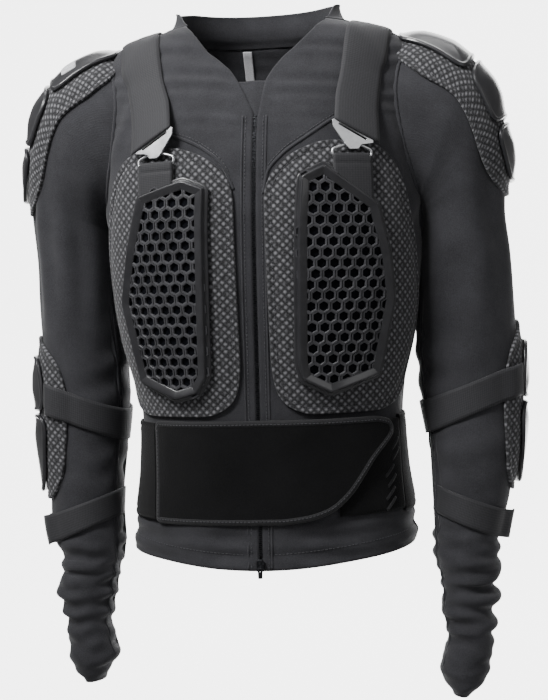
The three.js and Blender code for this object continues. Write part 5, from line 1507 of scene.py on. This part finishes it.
def flat_metal(name, outline, holes, thickness, frame, lift, mirror, material, edge=0.35):
    """A stamped plate from a flat outline with holes, with rounded edges, laid in a frame."""
    curve = bpy.data.curves.new(name, "CURVE")
    curve.dimensions = "2D"
    curve.fill_mode = "BOTH"
    curve.extrude = (thickness / 2 - edge) * MM
    curve.bevel_depth = edge * MM
    curve.bevel_resolution = 2
    curve.offset = -edge * MM
    for ring in [outline, *holes]:
        spline = curve.splines.new("POLY")
        spline.points.add(len(ring) - 1)
        for point, (x, y) in zip(spline.points, ring):
            point.co = (x * MM * mirror, y * MM, 0, 1)
        spline.use_cyclic_u = True
    holder = bpy.data.objects.new(name, curve)
    bpy.context.scene.collection.objects.link(holder)
    mesh = bpy.data.meshes.new_from_object(holder.evaluated_get(bpy.context.evaluated_depsgraph_get()))
    bpy.data.objects.remove(holder)
    obj = bpy.data.objects.new(name, mesh)
    bpy.context.scene.collection.objects.link(obj)
    origin, right, up, away = frame
    axes = Matrix(np.stack([right, up, away], axis=1).tolist()).to_4x4()
    axes.translation = Vector((origin + away * (lift + thickness / 2)) * MM)
    mesh.transform(axes)
    mesh.materials.clear()
    mesh.materials.append(material)
    bm = bmesh.new()
    bm.from_mesh(mesh)
    bmesh.ops.remove_doubles(bm, verts=bm.verts, dist=1e-6)
    bmesh.ops.recalc_face_normals(bm, faces=bm.faces)
    bm.to_mesh(mesh)
    bm.free()
    return obj


def make_buckles(context):
    """The stamped three-cornered buckles, their wire rings and the folded webbing that holds them."""
    corners = np.array([
        (-20, -2), (-17, -0.5), (21, -21.5), (21.5, -24.5), (9, -26.5), (6, -31), (-3, -31.5), (-6.5, -28), (-19.5, -9),
    ])  # fmt: skip
    slot = np.array([(-13, -5.2), (15, -20.6), (14, -22), (-14, -6.6)])
    tab_half = TAB_WIDTH / 2
    ring_side = tab_half + 2 * WIRE_RADIUS
    bar = -BUCKLE_HEIGHT - 4 * WIRE_RADIUS
    ring_top = -0.78 * BUCKLE_HEIGHT
    route = np.array([
        (-0.06 * BUCKLE_LENGTH, ring_top), (-ring_side, 0.5 * (ring_top + bar)), (-ring_side, bar),
        (ring_side, bar), (ring_side, 0.5 * (ring_top + bar)), (0.14 * BUCKLE_LENGTH, ring_top),
    ])  # fmt: skip
    ring_curve = even_outline(route, 120, 1.6)
    for side, sign in SIDES.items():
        origin, right, up, away = frame_axes = buckle_frame(side)
        plate = flat_metal(
            f"buckle_{side}", even_outline(corners, 140, 0.6), [even_outline(slot, 60, 0.3)], 1.8,
            frame_axes, 2 * WIRE_RADIUS + 0.4, sign, finish("stamped_steel"),
        )
        place_piece(plate, "steel", f"buckle_plate_{side}")
        points = origin + sign * ring_curve[:, :1] * right + ring_curve[:, 1:] * up + away * WIRE_RADIUS
        ups = np.repeat(away[None], len(points), axis=0)
        ring = swept(f"ring_{side}", points, WIRE_RADIUS, finish("stamped_steel"), 12, True, ups=ups)
        place_piece(ring, "steel", f"buckle_ring_{side}")
        make_web_loop(side, sign, bar)


def make_web_loop(side, sign, bar):
    """The folded webbing between a ring and the chest plate."""
    centre = BUCKLE_PLACE[side]
    rows, columns = 36, 15
    across = np.linspace(-1, 1, columns)
    x = centre + across * TAB_WIDTH / 2
    top = BUCKLE_TOP - bar - 2.9 * WIRE_RADIUS
    corners = np.array([CHEST_PLATE[side][k] for k in (0, -1, -2)], float)
    foot = np.interp(x * 1.07, corners[:, 0], corners[:, 1]) + 4
    run = (1 - np.cos(np.linspace(0, math.pi, rows))) / 2
    drop = top + (foot - top)[None, :] * run[:, None]
    distance = drop - top
    round_over = np.sqrt(np.clip(1 - (1 - np.clip(distance / 3.4, 0, 1)) ** 2, 0, 1))
    dip = 0.6 * np.exp(-(((distance - 9.5) / 1.6) ** 2))
    middle = 11.4
    high = middle + 2.1 * round_over - dip
    low = middle - 2.1 * round_over
    xs = np.repeat(sign * x[None, :], rows, axis=0)
    top_grid = on_torso("front", xs, drop, high)
    low_grid = on_torso("front", xs, drop, low)
    cloth = np.stack([np.repeat(across[None] * TAB_WIDTH / 2, rows, axis=0), distance], axis=-1)
    loop = closed_patch(f"web_loop_{side}", top_grid, low_grid, finish("webbing_cloth"), cloth)
    place_piece(loop, "webbing", f"buckle_tab_{side}")


# Kidney belt

BELT_BASE = 2.9
FLAP_BASE = 8.1
SIDE_END = 78
SIDE_SEAM_LEFT = 158
UNDER_FLAP_RIBS = [(0.3, 1.06), (0.4, 1.06), (0.56, 0.98), (0.66, 1.0), (0.78, 0.98), (0.88, 0.98)]


def flap_lift(across):
    """The flap's underside over the worn form: it climbs on to the side panel."""
    return BELT_BASE + (FLAP_BASE - BELT_BASE) * smoothstep(across, 0, SIDE_END - 14)


def flap_outline():
    """The flap's outline: straight where it starts, slanted where it closes."""
    start = lambda cut: np.full_like(cut["far"], -FLAP_START)
    end = lambda cut: cut["far"] * FLAP_REACH
    return table_outline(FLAP, "down", start, end, BELT_HEIGHT, 3.0) + np.array([0, BELT_TOP])


def chest_grid(grid, lift):
    """Points on the torso over a flat grid: across and down."""
    return on_chest(grid[..., 0], -grid[..., 1], lift)


def flap_place(grid, lift):
    """Points on the belt's flap over a flat grid."""
    return chest_grid(grid, flap_lift(grid[..., 0]) + lift)


def make_belt(context):
    """The kidney belt: its front flap with a bound edge, the back band and the ribbed side panel."""
    pile, tape = finish("loop_pile"), finish("binding_tape")
    outline = flap_outline()
    grid = filled(outline, 60, 110, 0.5)
    distance = inwards(grid, outline)
    sag = 0.7 * ripple(grid[..., 0], grid[..., 1] / 30, 71, 3, 70, 120) * smoothstep(distance, 4, 20)
    top = flap_place(grid, 2.0 + 1.4 * smoothstep(distance, 0, 5) + sag)
    flap = closed_patch("belt_front_flap", top, flap_place(grid, np.zeros_like(distance)), pile, grid)
    place_piece(flap, "belt_cloth", "belt_flap")
    edge = [(-0.6, 0.6), (-0.7, 2.0), (0.2, 3.5), (2.2, 4.0), (4.6, 3.9), (5.4, 3.3), (5.0, 2.4), (0.6, 0.4)]
    outline_edge = even_outline(outline, 420, 1.0)
    binding = ring_from_profile("belt_edge_tape", outline_edge, edge, flap_place, tape)
    place_piece(binding, "binding", "belt_piping")

    rows, columns = 34, 220
    share = np.linspace(0.02, 0.98, rows)
    z = -BELT_TOP - share * BELT_HEIGHT
    row = torso_rows(z)
    low = torso.angles(row, np.full_like(row, float(SIDE_SEAM_LEFT)))
    high = 2 * math.pi + torso.angles(row, np.full_like(row, -FLAP_START - 0.4))
    angle = low[:, None] + (high - low)[:, None] * np.linspace(0, 1, columns)[None, :]
    rows_grid = np.repeat(row[:, None], columns, axis=1)
    border = np.minimum(share - share[0], share[-1] - share)[:, None] * BELT_HEIGHT
    puff = 0.8 * ripple(angle * 120, share[:, None] * 3, 72, 3, 60, 110) * smoothstep(border, 2, 16)
    channel = 0.8 * np.exp(-(((border - 6) / 1.3) ** 2))
    top = torso.lift(rows_grid, angle, BELT_BASE + 2.2 + 1.2 * smoothstep(border, 0, 4) + puff - channel)
    bottom = torso.lift(rows_grid, angle, np.full_like(angle, BELT_BASE - 0.2))
    cloth = np.stack([angle * 140, np.repeat(z[:, None], columns, axis=1)], axis=-1)
    place_piece(closed_patch("belt_back_band", top, bottom, pile, cloth), "belt_cloth", "belt_back")

    share = np.linspace(0.05, 0.95, 40)
    z = -BELT_TOP - share * BELT_HEIGHT
    across = np.linspace(SIDE_END, SIDE_SEAM_LEFT - 0.4, 44)
    grid = np.stack(np.meshgrid(across, -z), axis=-1)
    border = np.minimum(share - share[0], share[-1] - share)[:, None] * BELT_HEIGHT + 0 * grid[..., 0]
    top = chest_grid(grid, BELT_BASE + 2.2 + smoothstep(border, 0, 4))
    bottom = chest_grid(grid, np.full_like(border, BELT_BASE - 0.2))
    place_piece(closed_patch("belt_side_panel", top, bottom, pile, grid), "belt_cloth", "belt_under_flap")
    for number, (down, u) in enumerate(UNDER_FLAP_RIBS):
        run = np.linspace(-1, 1, 14)
        x = u * FLAP_REACH + run * 8.5 * 0.74
        y = BELT_TOP + down * BELT_HEIGHT - run * 8.5 * 0.67
        lift = BELT_BASE + 3.0 + 0.5 * (1 - run**2)
        points = on_chest(x, -y, lift)
        ups = unit_vectors(on_chest(x, -y, lift + 1) - points)
        rib = swept(f"belt_rib_{number}", points, 1.6, tape, 10, False, 0.7, ups)
        place_piece(rib, "binding")


# Seams

YOKE_SEAM = {
    "right": {"across": [116, 95, 69, 44, 24, 15], "down": [97, 103, 111, 124, 143, 165]},
    "left": {"across": [124, 97, 60, 33, 19, 15], "down": [82, 91, 114, 133, 150, 170]},
}
PLACKET = {"right": -12.3, "left": 11.5}


def on_body(height, across, lift, fold_depth):
    """A place on the folded cloth of the body's front, by height and distance out."""
    row = torso_rows(height)
    side = np.where(across < 0, -1, 1)
    angle = side * front_angle(row, np.abs(across))
    return cloth_at(row, angle, height, lift, fold_depth)


def cloth_at(row, angle, height, lift, fold_depth):
    """A place on the folded cloth of the body, by row, angle and height."""
    base = torso.at(row, angle)
    fold = fold_depth * torso_folds(base[..., 0], height, base[..., 1] > 6)
    return torso.lift(row, angle, JERSEY_WALL + fold + lift)


def walked(route, spacing, closed):
    """Points at even steps along a route, with their shares of its length."""
    run = np.vstack([route, route[:1]]) if closed else route
    length = run_along(run)
    marks = np.arange(spacing / 2, length[-1] - spacing / 4, spacing)
    return np.stack([np.interp(marks, length, run[:, k]) for k in range(3)], axis=1), marks, length


def thread_loop():
    """One stitch: a short rounded bar along x."""
    rings = [(-1.35, 0.16), (-0.9, 0.42), (0.9, 0.42), (1.35, 0.16)]
    vertices = [
        (x, r * math.cos(k * math.pi / 3), 0.25 + r * math.sin(k * math.pi / 3)) for x, r in rings for k in range(6)
    ]
    faces = [tuple(range(6))[::-1], tuple(range(18, 24)), *ring_faces(4, 6, False)]
    return face_outwards(new_object("stitch", vertices, faces, None))


def sew(name, routes, slot="binding", spacing=3.9):
    """Rows of stitches along routes, each given as a surface line, the line above it and whether it closes."""
    points, turns = [], []
    for low, high, closed in routes:
        spots, marks, length = walked(low, spacing, closed)
        above = np.vstack([high, high[:1]]) if closed else high
        lifted = np.stack([np.interp(marks, length, above[:, k]) for k in range(3)], axis=1)
        ahead = np.gradient(spots, axis=0)
        for spot, up, along in zip(spots, unit_vectors(lifted - spots), ahead):
            side = unit_vectors(np.cross(up, along))
            points.append(spot)
            turns.append((np.cross(side, up), side, up))
    return place_piece(repeat_on_points(name, points, turns, thread_loop(), finish("sewing_thread")), slot)


def sewn_line(place, outline, lift):
    """A closed row of stitches along an outline, as sew takes it."""
    return place(outline, np.full(len(outline), lift)), place(outline, np.full(len(outline), lift + 1.0)), True


def welt(name, low, high, radius, flat, closed=False):
    """A seam that stands up a little from the cloth."""
    return place_piece(
        swept(name, low, radius, finish("stretch_jersey"), 10, closed, flat, unit_vectors(high - low)), "jersey"
    )


def make_seams(context):
    """The seams of the jersey and the rows of stitches on cloth, pads and belt."""
    depth = context.scene.jacket_cloth.fold_depth / MM
    hem_angles = np.linspace(0, 2 * math.pi, 500, endpoint=False)
    hem_height = -BODY_LENGTH + HEM_RISE * np.sin(hem_angles) ** 2 + 16
    rows = torso_rows(hem_height)
    cloth_rows = [tuple(cloth_at(rows, hem_angles, hem_height, k, depth) for k in (-0.7, 1.0)) + (True,)]
    pad_rows = []
    for side, sign in SIDES.items():
        angles = np.linspace(0, 2 * math.pi, 200, endpoint=False)
        start = sleeve_start(side, angles) + 0.03
        low, high = (arms[side].lift(start, angles, JERSEY_WALL + k) for k in (0.5, 1.5))
        welt(f"seam_armhole_{side}", low, high, 1.9, 0.65, True)
        height = np.linspace(-210, -BODY_LENGTH + HEM_RISE + 1, 160)
        row = torso_rows(height)
        angle = np.full_like(height, sign * math.pi / 2)
        low, high = (cloth_at(row, angle, height, k, depth) for k in (0.1, 1.1))
        welt(f"seam_side_{side}", low, high, 1.5, 0.6)
        table = YOKE_SEAM[side]
        at = np.linspace(0, len(table["across"]) - 1, 90)
        line = read_rows(table, at)
        low, high = (on_body(-line["down"], sign * line["across"], k, depth) for k in (0.2, 1.2))
        welt(f"seam_yoke_{side}", low, high, 1.7, 0.7)
        low, high = (on_body(-line["down"] + 4.5, sign * line["across"], k, depth) for k in (0.0, 1.0))
        cloth_rows.append((low, high, False))
        height = np.linspace(-92, -BODY_LENGTH + 2, 220)
        across = zip_line(height) + PLACKET[side]
        low, high = (on_body(height, across, k, depth) for k in (0.1, 1.1))
        welt(f"seam_placket_{side}", low, high, 1.1, 0.8)
        low, high = (on_body(height, across - 3 * sign, k, depth) for k in (0.0, 1.0))
        cloth_rows.append((low, high, False))
        for outline, place in [(chest_outline(), chest_place(side)), *(pad[1:3] for pad in arm_pads(side))]:
            pad_rows.append(sewn_line(place, inset(outline, PAD_SEAM - 0.4), 5.3))
    sew("stitches_jersey", cloth_rows, "jersey")
    sew("stitches_pads", pad_rows, "patterned")
    sew("stitches_belt", [sewn_line(flap_place, inset(flap_outline(), 3.2), 3.9)], "binding")


# Front closing and label


def tooth():
    """One moulded zip tooth."""
    points = [(-1.5, -0.5), (0.3, -0.5), (0.9, -0.75), (1.5, -0.3), (1.5, 0.3), (0.9, 0.75), (0.3, 0.5), (-1.5, 0.5)]
    vertices = [(x, y, z) for z in (0.0, 1.3) for x, y in points]
    count = len(points)
    faces = [tuple(range(count))[::-1], tuple(range(count, 2 * count))]
    faces += [(k, (k + 1) % count, count + (k + 1) % count, count + k) for k in range(count)]
    return face_outwards(new_object("zip tooth", vertices, faces, None, smooth=False))


def chest_axes(u, z, lift, flip=False):
    """A place on the chest and its axes, turned half round if flipped."""
    origin, right, up = on_chest(np.array([u, u + 1, u]), np.array([z, z, z + 1]), np.full(3, float(lift)))
    across = unit_vectors(right - origin)
    out = unit_vectors(np.cross(across, up - origin))
    rise = np.cross(out, across)
    return (origin, (-across, -rise, out)) if flip else (origin, (across, rise, out))


def make_zip(context):
    """The closed front zip: teeth, side tapes, the foot at the hem and the cloth that covers its top."""
    top, foot = -92, -BODY_LENGTH + 13
    points, turns = [], []
    pitch = 2.0
    count = int((top - foot) / pitch)
    for k in range(count):
        origin, axes = chest_axes(
            float(zip_line(top - k * pitch)) + (-0.35 if k % 2 else 0.35), top - k * pitch, 1.2, bool(k % 2)
        )
        points.append(origin)
        turns.append(axes)
    teeth = repeat_on_points("zip_teeth", points, turns, tooth(), finish("dark_zip_metal"))
    place_piece(teeth, "dark_metal", "zip_chain")
    z = np.linspace(-NECK_V_DEPTH - 3, -BODY_LENGTH + 8, 160)
    u = zip_line(z)[:, None] + np.linspace(-15, 15, 13)[None, :]
    grid = np.stack([u, np.repeat(-z[:, None], 13, axis=1)], axis=-1)
    lift = np.full(grid.shape[:2], -1.4)
    tape = closed_patch(
        "zip_side_tapes", chest_grid(grid, lift), chest_grid(grid, lift - 1.1), finish("webbing_cloth"), grid
    )
    place_piece(tape, "webbing", "zip_tape")
    rows = np.linspace(0, 1, 26)
    left, right = -15 + 19 * rows, 21.5 - 6 * rows
    u = left[:, None] + (right - left)[:, None] * np.linspace(0, 1, 17)[None, :]
    z = np.repeat((-55.5 - rows * 38)[:, None], 17, axis=1)
    bulge = 0.5 * np.exp(-((rows / 0.05) ** 2))[:, None] + 0.5 * np.sin(u / 4)
    cover = closed_patch(
        "zip_cover", on_chest(u, z, 1.0 + bulge), on_chest(u, z, -0.6 + bulge), finish("stretch_jersey"),
        np.stack([u, -z], axis=-1),
    )
    place_piece(cover, "jersey", "zip_garage")
    make_zip_foot()


def make_zip_foot():
    """The slider at the hem and its pull tab."""
    outline = even_outline(np.array([(-4, 0), (4, 0), (4, 8), (2.6, 12), (-2.6, 12), (-4, 8)], float), 80, 0.7)
    origin, axes = chest_axes(float(zip_line(-BODY_LENGTH)), -BODY_LENGTH, 2.9)
    frame_axes = (origin, *axes)
    body = flat_metal("zip_foot", outline, [], 3.4, frame_axes, 0.0, 1, finish("dark_zip_metal"), 0.8)
    place_piece(body, "dark_metal", "zip_slider")
    pull = even_outline(np.array([(-2.2, -7), (2.2, -7), (2.6, 4), (-2.6, 4)], float), 60, 0.8)
    eye = even_outline(np.array([(-1, 0), (1, 0), (1, 2.4), (-1, 2.4)], float), 40, 0.4)
    tag = flat_metal("zip_pull", pull, [eye], 1.1, frame_axes, 3.5, 1, finish("dark_zip_metal"), 0.3)
    place_piece(tag, "dark_metal")


def make_label(context):
    """The blank ribbon label at the nape."""
    rows, columns = 26, 9
    run = np.linspace(0, 1, rows)
    x = -0.14 * CHEST_WIDTH / 2 + np.linspace(-5, 5, columns)
    z = 2.0 - run * 34
    xs, zs = np.repeat(x[None, :], rows, 0), np.repeat(z[:, None], columns, 1)
    curl = 0.5 * (run**2)[:, None] + 0.25 * np.sin(run * 5)[:, None]
    top = on_torso("back", xs, -zs, -1.3 - curl)
    low = on_torso("back", xs, -zs, -0.8 - curl)
    label = closed_patch("neck_tag", low, top, finish("label_satin"), np.stack([xs, zs], axis=-1))
    place_piece(label, "label_cloth", "neck_label")


# Stage


LIGHTS = [  # name, place, aim, size, share of the key light's power and spread in degrees
    ("key", (-0.85, -1.15, 1.2), (-0.05, 0, 0.12), (0.7, 0.7), 1, 62),
    ("fill", (1.5, -1.5, 0.7), (0.05, 0, -0.15), (1.2, 1.2), 0.65, 180),
    ("edge", (-1.15, -0.35, 0.75), (-0.22, 0, -0.12), (0.25, 0.9), 0.8, 180),
    ("wall", (0, 1.0, 3.4), (0, 3.0, 0.0), (4.0, 1.5), 7.3, 180),
]


def make_sweep():
    """A seamless floor and wall: a floor that curves up behind the jacket."""
    material, tree, main = new_finish("Painted studio wall, matt", {
        "Base Color": (*srgb("9c9c9c"), 1), "Roughness": 0.9, "Emission Color": (*srgb("ffffff"), 1),
    })
    split = add_node(
        tree, "ShaderNodeSeparateXYZ", {"Vector": add_node(tree, "ShaderNodeTexCoord").outputs["Object"]}
    )
    # The wall glows and the floor in front of it doesn't, so the cloth is lit from the front alone
    glow = add_node(
        tree, "ShaderNodeMapRange", {"Value": split.outputs["Y"], "From Min": 0.3, "From Max": 1.0, "To Max": 4.6}
    )
    tree.links.new(glow.outputs["Result"], main.inputs["Emission Strength"])
    profile = [(-3.0, -1.0), (1.6, -1.0)]
    for k in range(1, 13):
        turn = k / 12 * math.pi / 2
        profile.append((1.6 + 1.4 * math.sin(turn), 0.4 - 1.4 * math.cos(turn)))
    profile.append((3.0, 4.5))
    vertices = [(x / MM, y / MM, z / MM) for y, z in profile for x in (-1.7, 1.7)]
    faces = [(2 * k, 2 * k + 1, 2 * k + 3, 2 * k + 2) for k in range(len(profile) - 1)]
    new_object("studio_sweep", vertices, faces, material)


def make_stage(context):
    """A pale seamless floor and wall, soft lights and the camera."""
    settings = context.scene.jacket_stage
    make_sweep()
    world = bpy.data.worlds.get("World") or bpy.data.worlds.new("World")
    context.scene.world = world
    world.use_nodes = True
    world.node_tree.nodes["Background"].inputs["Color"].default_value = (*srgb("f5f4f4"), 1)
    world.node_tree.nodes["Background"].inputs["Strength"].default_value = settings.surround
    for name, place, aim, size, share, spread in LIGHTS:
        light = bpy.data.lights.new(name, "AREA")
        light.spread = math.radians(spread)
        light.shape = "RECTANGLE"
        light.size, light.size_y = size
        light.energy = settings.key * share
        obj = bpy.data.objects.new(name, light)
        obj.location = place
        obj.rotation_euler = (Vector(aim) - Vector(place)).to_track_quat("-Z", "Y").to_euler()
        context.scene.collection.objects.link(obj)

    turn = math.radians(settings.azimuth)
    view = bpy.data.cameras.new("camera")
    view.lens = settings.lens
    view.sensor_width = 36
    view.clip_start = 0.05
    camera = bpy.data.objects.new("camera", view)
    place = Vector((settings.distance * math.sin(turn), -settings.distance * math.cos(turn), settings.height))
    camera.location = place
    aim = Vector((0.004, 0, settings.height - settings.distance * math.tan(math.radians(settings.tilt))))
    look = (aim - place).to_track_quat("-Z", "Y")
    camera.rotation_euler = (look.to_matrix() @ Matrix.Rotation(math.radians(settings.roll), 3, "Z")).to_euler()
    context.scene.collection.objects.link(camera)
    context.scene.camera = camera


# Settings


def length(name, text, default):
    return bpy.props.FloatProperty(name=name, description=text, default=default, min=0, unit="LENGTH", precision=4)


class JacketCloth(bpy.types.PropertyGroup):
    wall: length("Cloth thickness", "Thickness of the knitted cloth", 0.002)
    fold_depth: length("Fold depth", "How far folds stand off the worn form", 0.001)


class JacketShells(bpy.types.PropertyGroup):
    hole: length("Honeycomb hole", "Width of a honeycomb hole across its flats", 0.0085)
    web: length("Honeycomb web", "Thickness of the wall between two holes", 0.0035)


class JacketStraps(bpy.types.PropertyGroup):
    width: length("Strap width", "Width of the shoulder webbing", 0.039)
    thickness: length("Strap thickness", "Thickness of the shoulder webbing", 0.0018)


class JacketStage(bpy.types.PropertyGroup):
    azimuth: bpy.props.FloatProperty(name="Azimuth", description="Camera's turn from the front, in degrees", default=8)
    height: bpy.props.FloatProperty(
        name="Camera height", description="Height of the lens over the origin", default=-0.275, unit="LENGTH"
    )
    distance: length("Camera distance", "From the body's axis to the lens", 1.5)
    tilt: bpy.props.FloatProperty(name="Tilt", description="Downward tilt in degrees", default=2.06)
    roll: bpy.props.FloatProperty(name="Roll", description="Camera's roll in degrees", default=-2.1)
    lens: bpy.props.FloatProperty(name="Lens", description="Focal length in millimetres", default=72.0)
    key: bpy.props.FloatProperty(name="Key light", description="Power of the key light in watts", default=6.5)
    surround: bpy.props.FloatProperty(name="Surround", description="Strength of the even light", default=0.2)


SETTINGS = {
    "jacket_cloth": JacketCloth,
    "jacket_shells": JacketShells,
    "jacket_straps": JacketStraps,
    "jacket_stage": JacketStage,
}


class AddJacketStage(bpy.types.Operator):
    """Add the pale studio, its lights and the camera"""

    bl_idname = "jacket.stage"
    bl_label = "Studio"
    bl_options = {"REGISTER", "UNDO"}

    def execute(self, context):
        make_stage(context)
        return {"FINISHED"}


class AddJacketBody(bpy.types.Operator):
    """Add the knitted body, open at the front and the armholes"""

    bl_idname = "jacket.body"
    bl_label = "Body"
    bl_options = {"REGISTER", "UNDO"}

    def execute(self, context):
        make_body(context)
        return {"FINISHED"}


class AddJacketCollar(bpy.types.Operator):
    """Add the stand-up collar"""

    bl_idname = "jacket.collar"
    bl_label = "Collar"
    bl_options = {"REGISTER", "UNDO"}

    def execute(self, context):
        make_collar(context)
        return {"FINISHED"}


class AddJacketSleeves(bpy.types.Operator):
    """Add both gathered sleeves with their cuffs"""

    bl_idname = "jacket.sleeves"
    bl_label = "Sleeves"
    bl_options = {"REGISTER", "UNDO"}

    def execute(self, context):
        make_sleeves(context)
        return {"FINISHED"}


class AddChestPads(bpy.types.Operator):
    """Add the padded chest panels"""

    bl_idname = "jacket.chest_pads"
    bl_label = "Chest pads"
    bl_options = {"REGISTER", "UNDO"}

    def execute(self, context):
        make_chest_pads(context)
        return {"FINISHED"}


class AddArmPads(bpy.types.Operator):
    """Add the padded shoulder and elbow panels"""

    bl_idname = "jacket.arm_pads"
    bl_label = "Shoulder and elbow pads"
    bl_options = {"REGISTER", "UNDO"}

    def execute(self, context):
        make_arm_pads(context)
        return {"FINISHED"}


class AddShells(bpy.types.Operator):
    """Add the hard shoulder and elbow shells"""

    bl_idname = "jacket.shells"
    bl_label = "Shoulder and elbow shells"
    bl_options = {"REGISTER", "UNDO"}

    def execute(self, context):
        make_shells(context)
        return {"FINISHED"}


class AddChestPlates(bpy.types.Operator):
    """Add the pierced chest plates and their foam"""

    bl_idname = "jacket.chest_plates"
    bl_label = "Chest plates"
    bl_options = {"REGISTER", "UNDO"}

    def execute(self, context):
        make_chest_plates(context)
        return {"FINISHED"}


class AddShoulderStraps(bpy.types.Operator):
    """Add the shoulder webbing"""

    bl_idname = "jacket.shoulder_straps"
    bl_label = "Shoulder straps"
    bl_options = {"REGISTER", "UNDO"}

    def execute(self, context):
        make_shoulder_straps(context)
        return {"FINISHED"}


class AddArmStraps(bpy.types.Operator):
    """Add the elbow and forearm webbing"""

    bl_idname = "jacket.arm_straps"
    bl_label = "Arm straps"
    bl_options = {"REGISTER", "UNDO"}

    def execute(self, context):
        make_arm_straps(context)
        return {"FINISHED"}


class AddBuckles(bpy.types.Operator):
    """Add the buckles, rings and folded webbing"""

    bl_idname = "jacket.buckles"
    bl_label = "Buckles"
    bl_options = {"REGISTER", "UNDO"}

    def execute(self, context):
        make_buckles(context)
        return {"FINISHED"}


class AddBelt(bpy.types.Operator):
    """Add the kidney belt"""

    bl_idname = "jacket.belt"
    bl_label = "Kidney belt"
    bl_options = {"REGISTER", "UNDO"}

    def execute(self, context):
        make_belt(context)
        return {"FINISHED"}


class AddZip(bpy.types.Operator):
    """Add the front zip"""

    bl_idname = "jacket.zip"
    bl_label = "Front zip"
    bl_options = {"REGISTER", "UNDO"}

    def execute(self, context):
        make_zip(context)
        return {"FINISHED"}


class AddSeams(bpy.types.Operator):
    """Add the seams and the rows of stitches"""

    bl_idname = "jacket.seams"
    bl_label = "Seams and stitches"
    bl_options = {"REGISTER", "UNDO"}

    def execute(self, context):
        make_seams(context)
        return {"FINISHED"}


class AddLabel(bpy.types.Operator):
    """Add the blank neck label"""

    bl_idname = "jacket.label"
    bl_label = "Neck label"
    bl_options = {"REGISTER", "UNDO"}

    def execute(self, context):
        make_label(context)
        return {"FINISHED"}


OPERATORS = [
    AddJacketStage, AddJacketBody, AddJacketCollar, AddJacketSleeves, AddChestPads, AddArmPads, AddShells,
    AddChestPlates, AddShoulderStraps, AddArmStraps, AddBuckles, AddBelt, AddZip, AddSeams, AddLabel,
]  # fmt: skip


class JacketPanel(bpy.types.Panel):
    """Lists the jacket's pieces and sizes"""

    bl_idname = "VIEW3D_PT_armour_jacket"
    bl_label = "Armour jacket"
    bl_space_type = "VIEW_3D"
    bl_region_type = "UI"
    bl_category = "Armour jacket"

    def draw(self, context):
        for name, group in SETTINGS.items():
            box = self.layout.box()
            for key in group.__annotations__:
                box.prop(getattr(context.scene, name), key)
        for operator in OPERATORS:
            self.layout.operator(operator.bl_idname)


def register():
    for kind in [*SETTINGS.values(), *OPERATORS, JacketPanel]:
        bpy.utils.register_class(kind)
    for name, kind in SETTINGS.items():
        setattr(bpy.types.Scene, name, bpy.props.PointerProperty(type=kind))


def unregister():
    for name in SETTINGS:
        delattr(bpy.types.Scene, name)
    for kind in reversed([*SETTINGS.values(), *OPERATORS, JacketPanel]):
        bpy.utils.unregister_class(kind)


def main():
    register()
    for operator in OPERATORS:
        group, name = operator.bl_idname.split(".")
        getattr(getattr(bpy.ops, group), name)()
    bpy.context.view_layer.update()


if __name__ == "__main__":
    main()
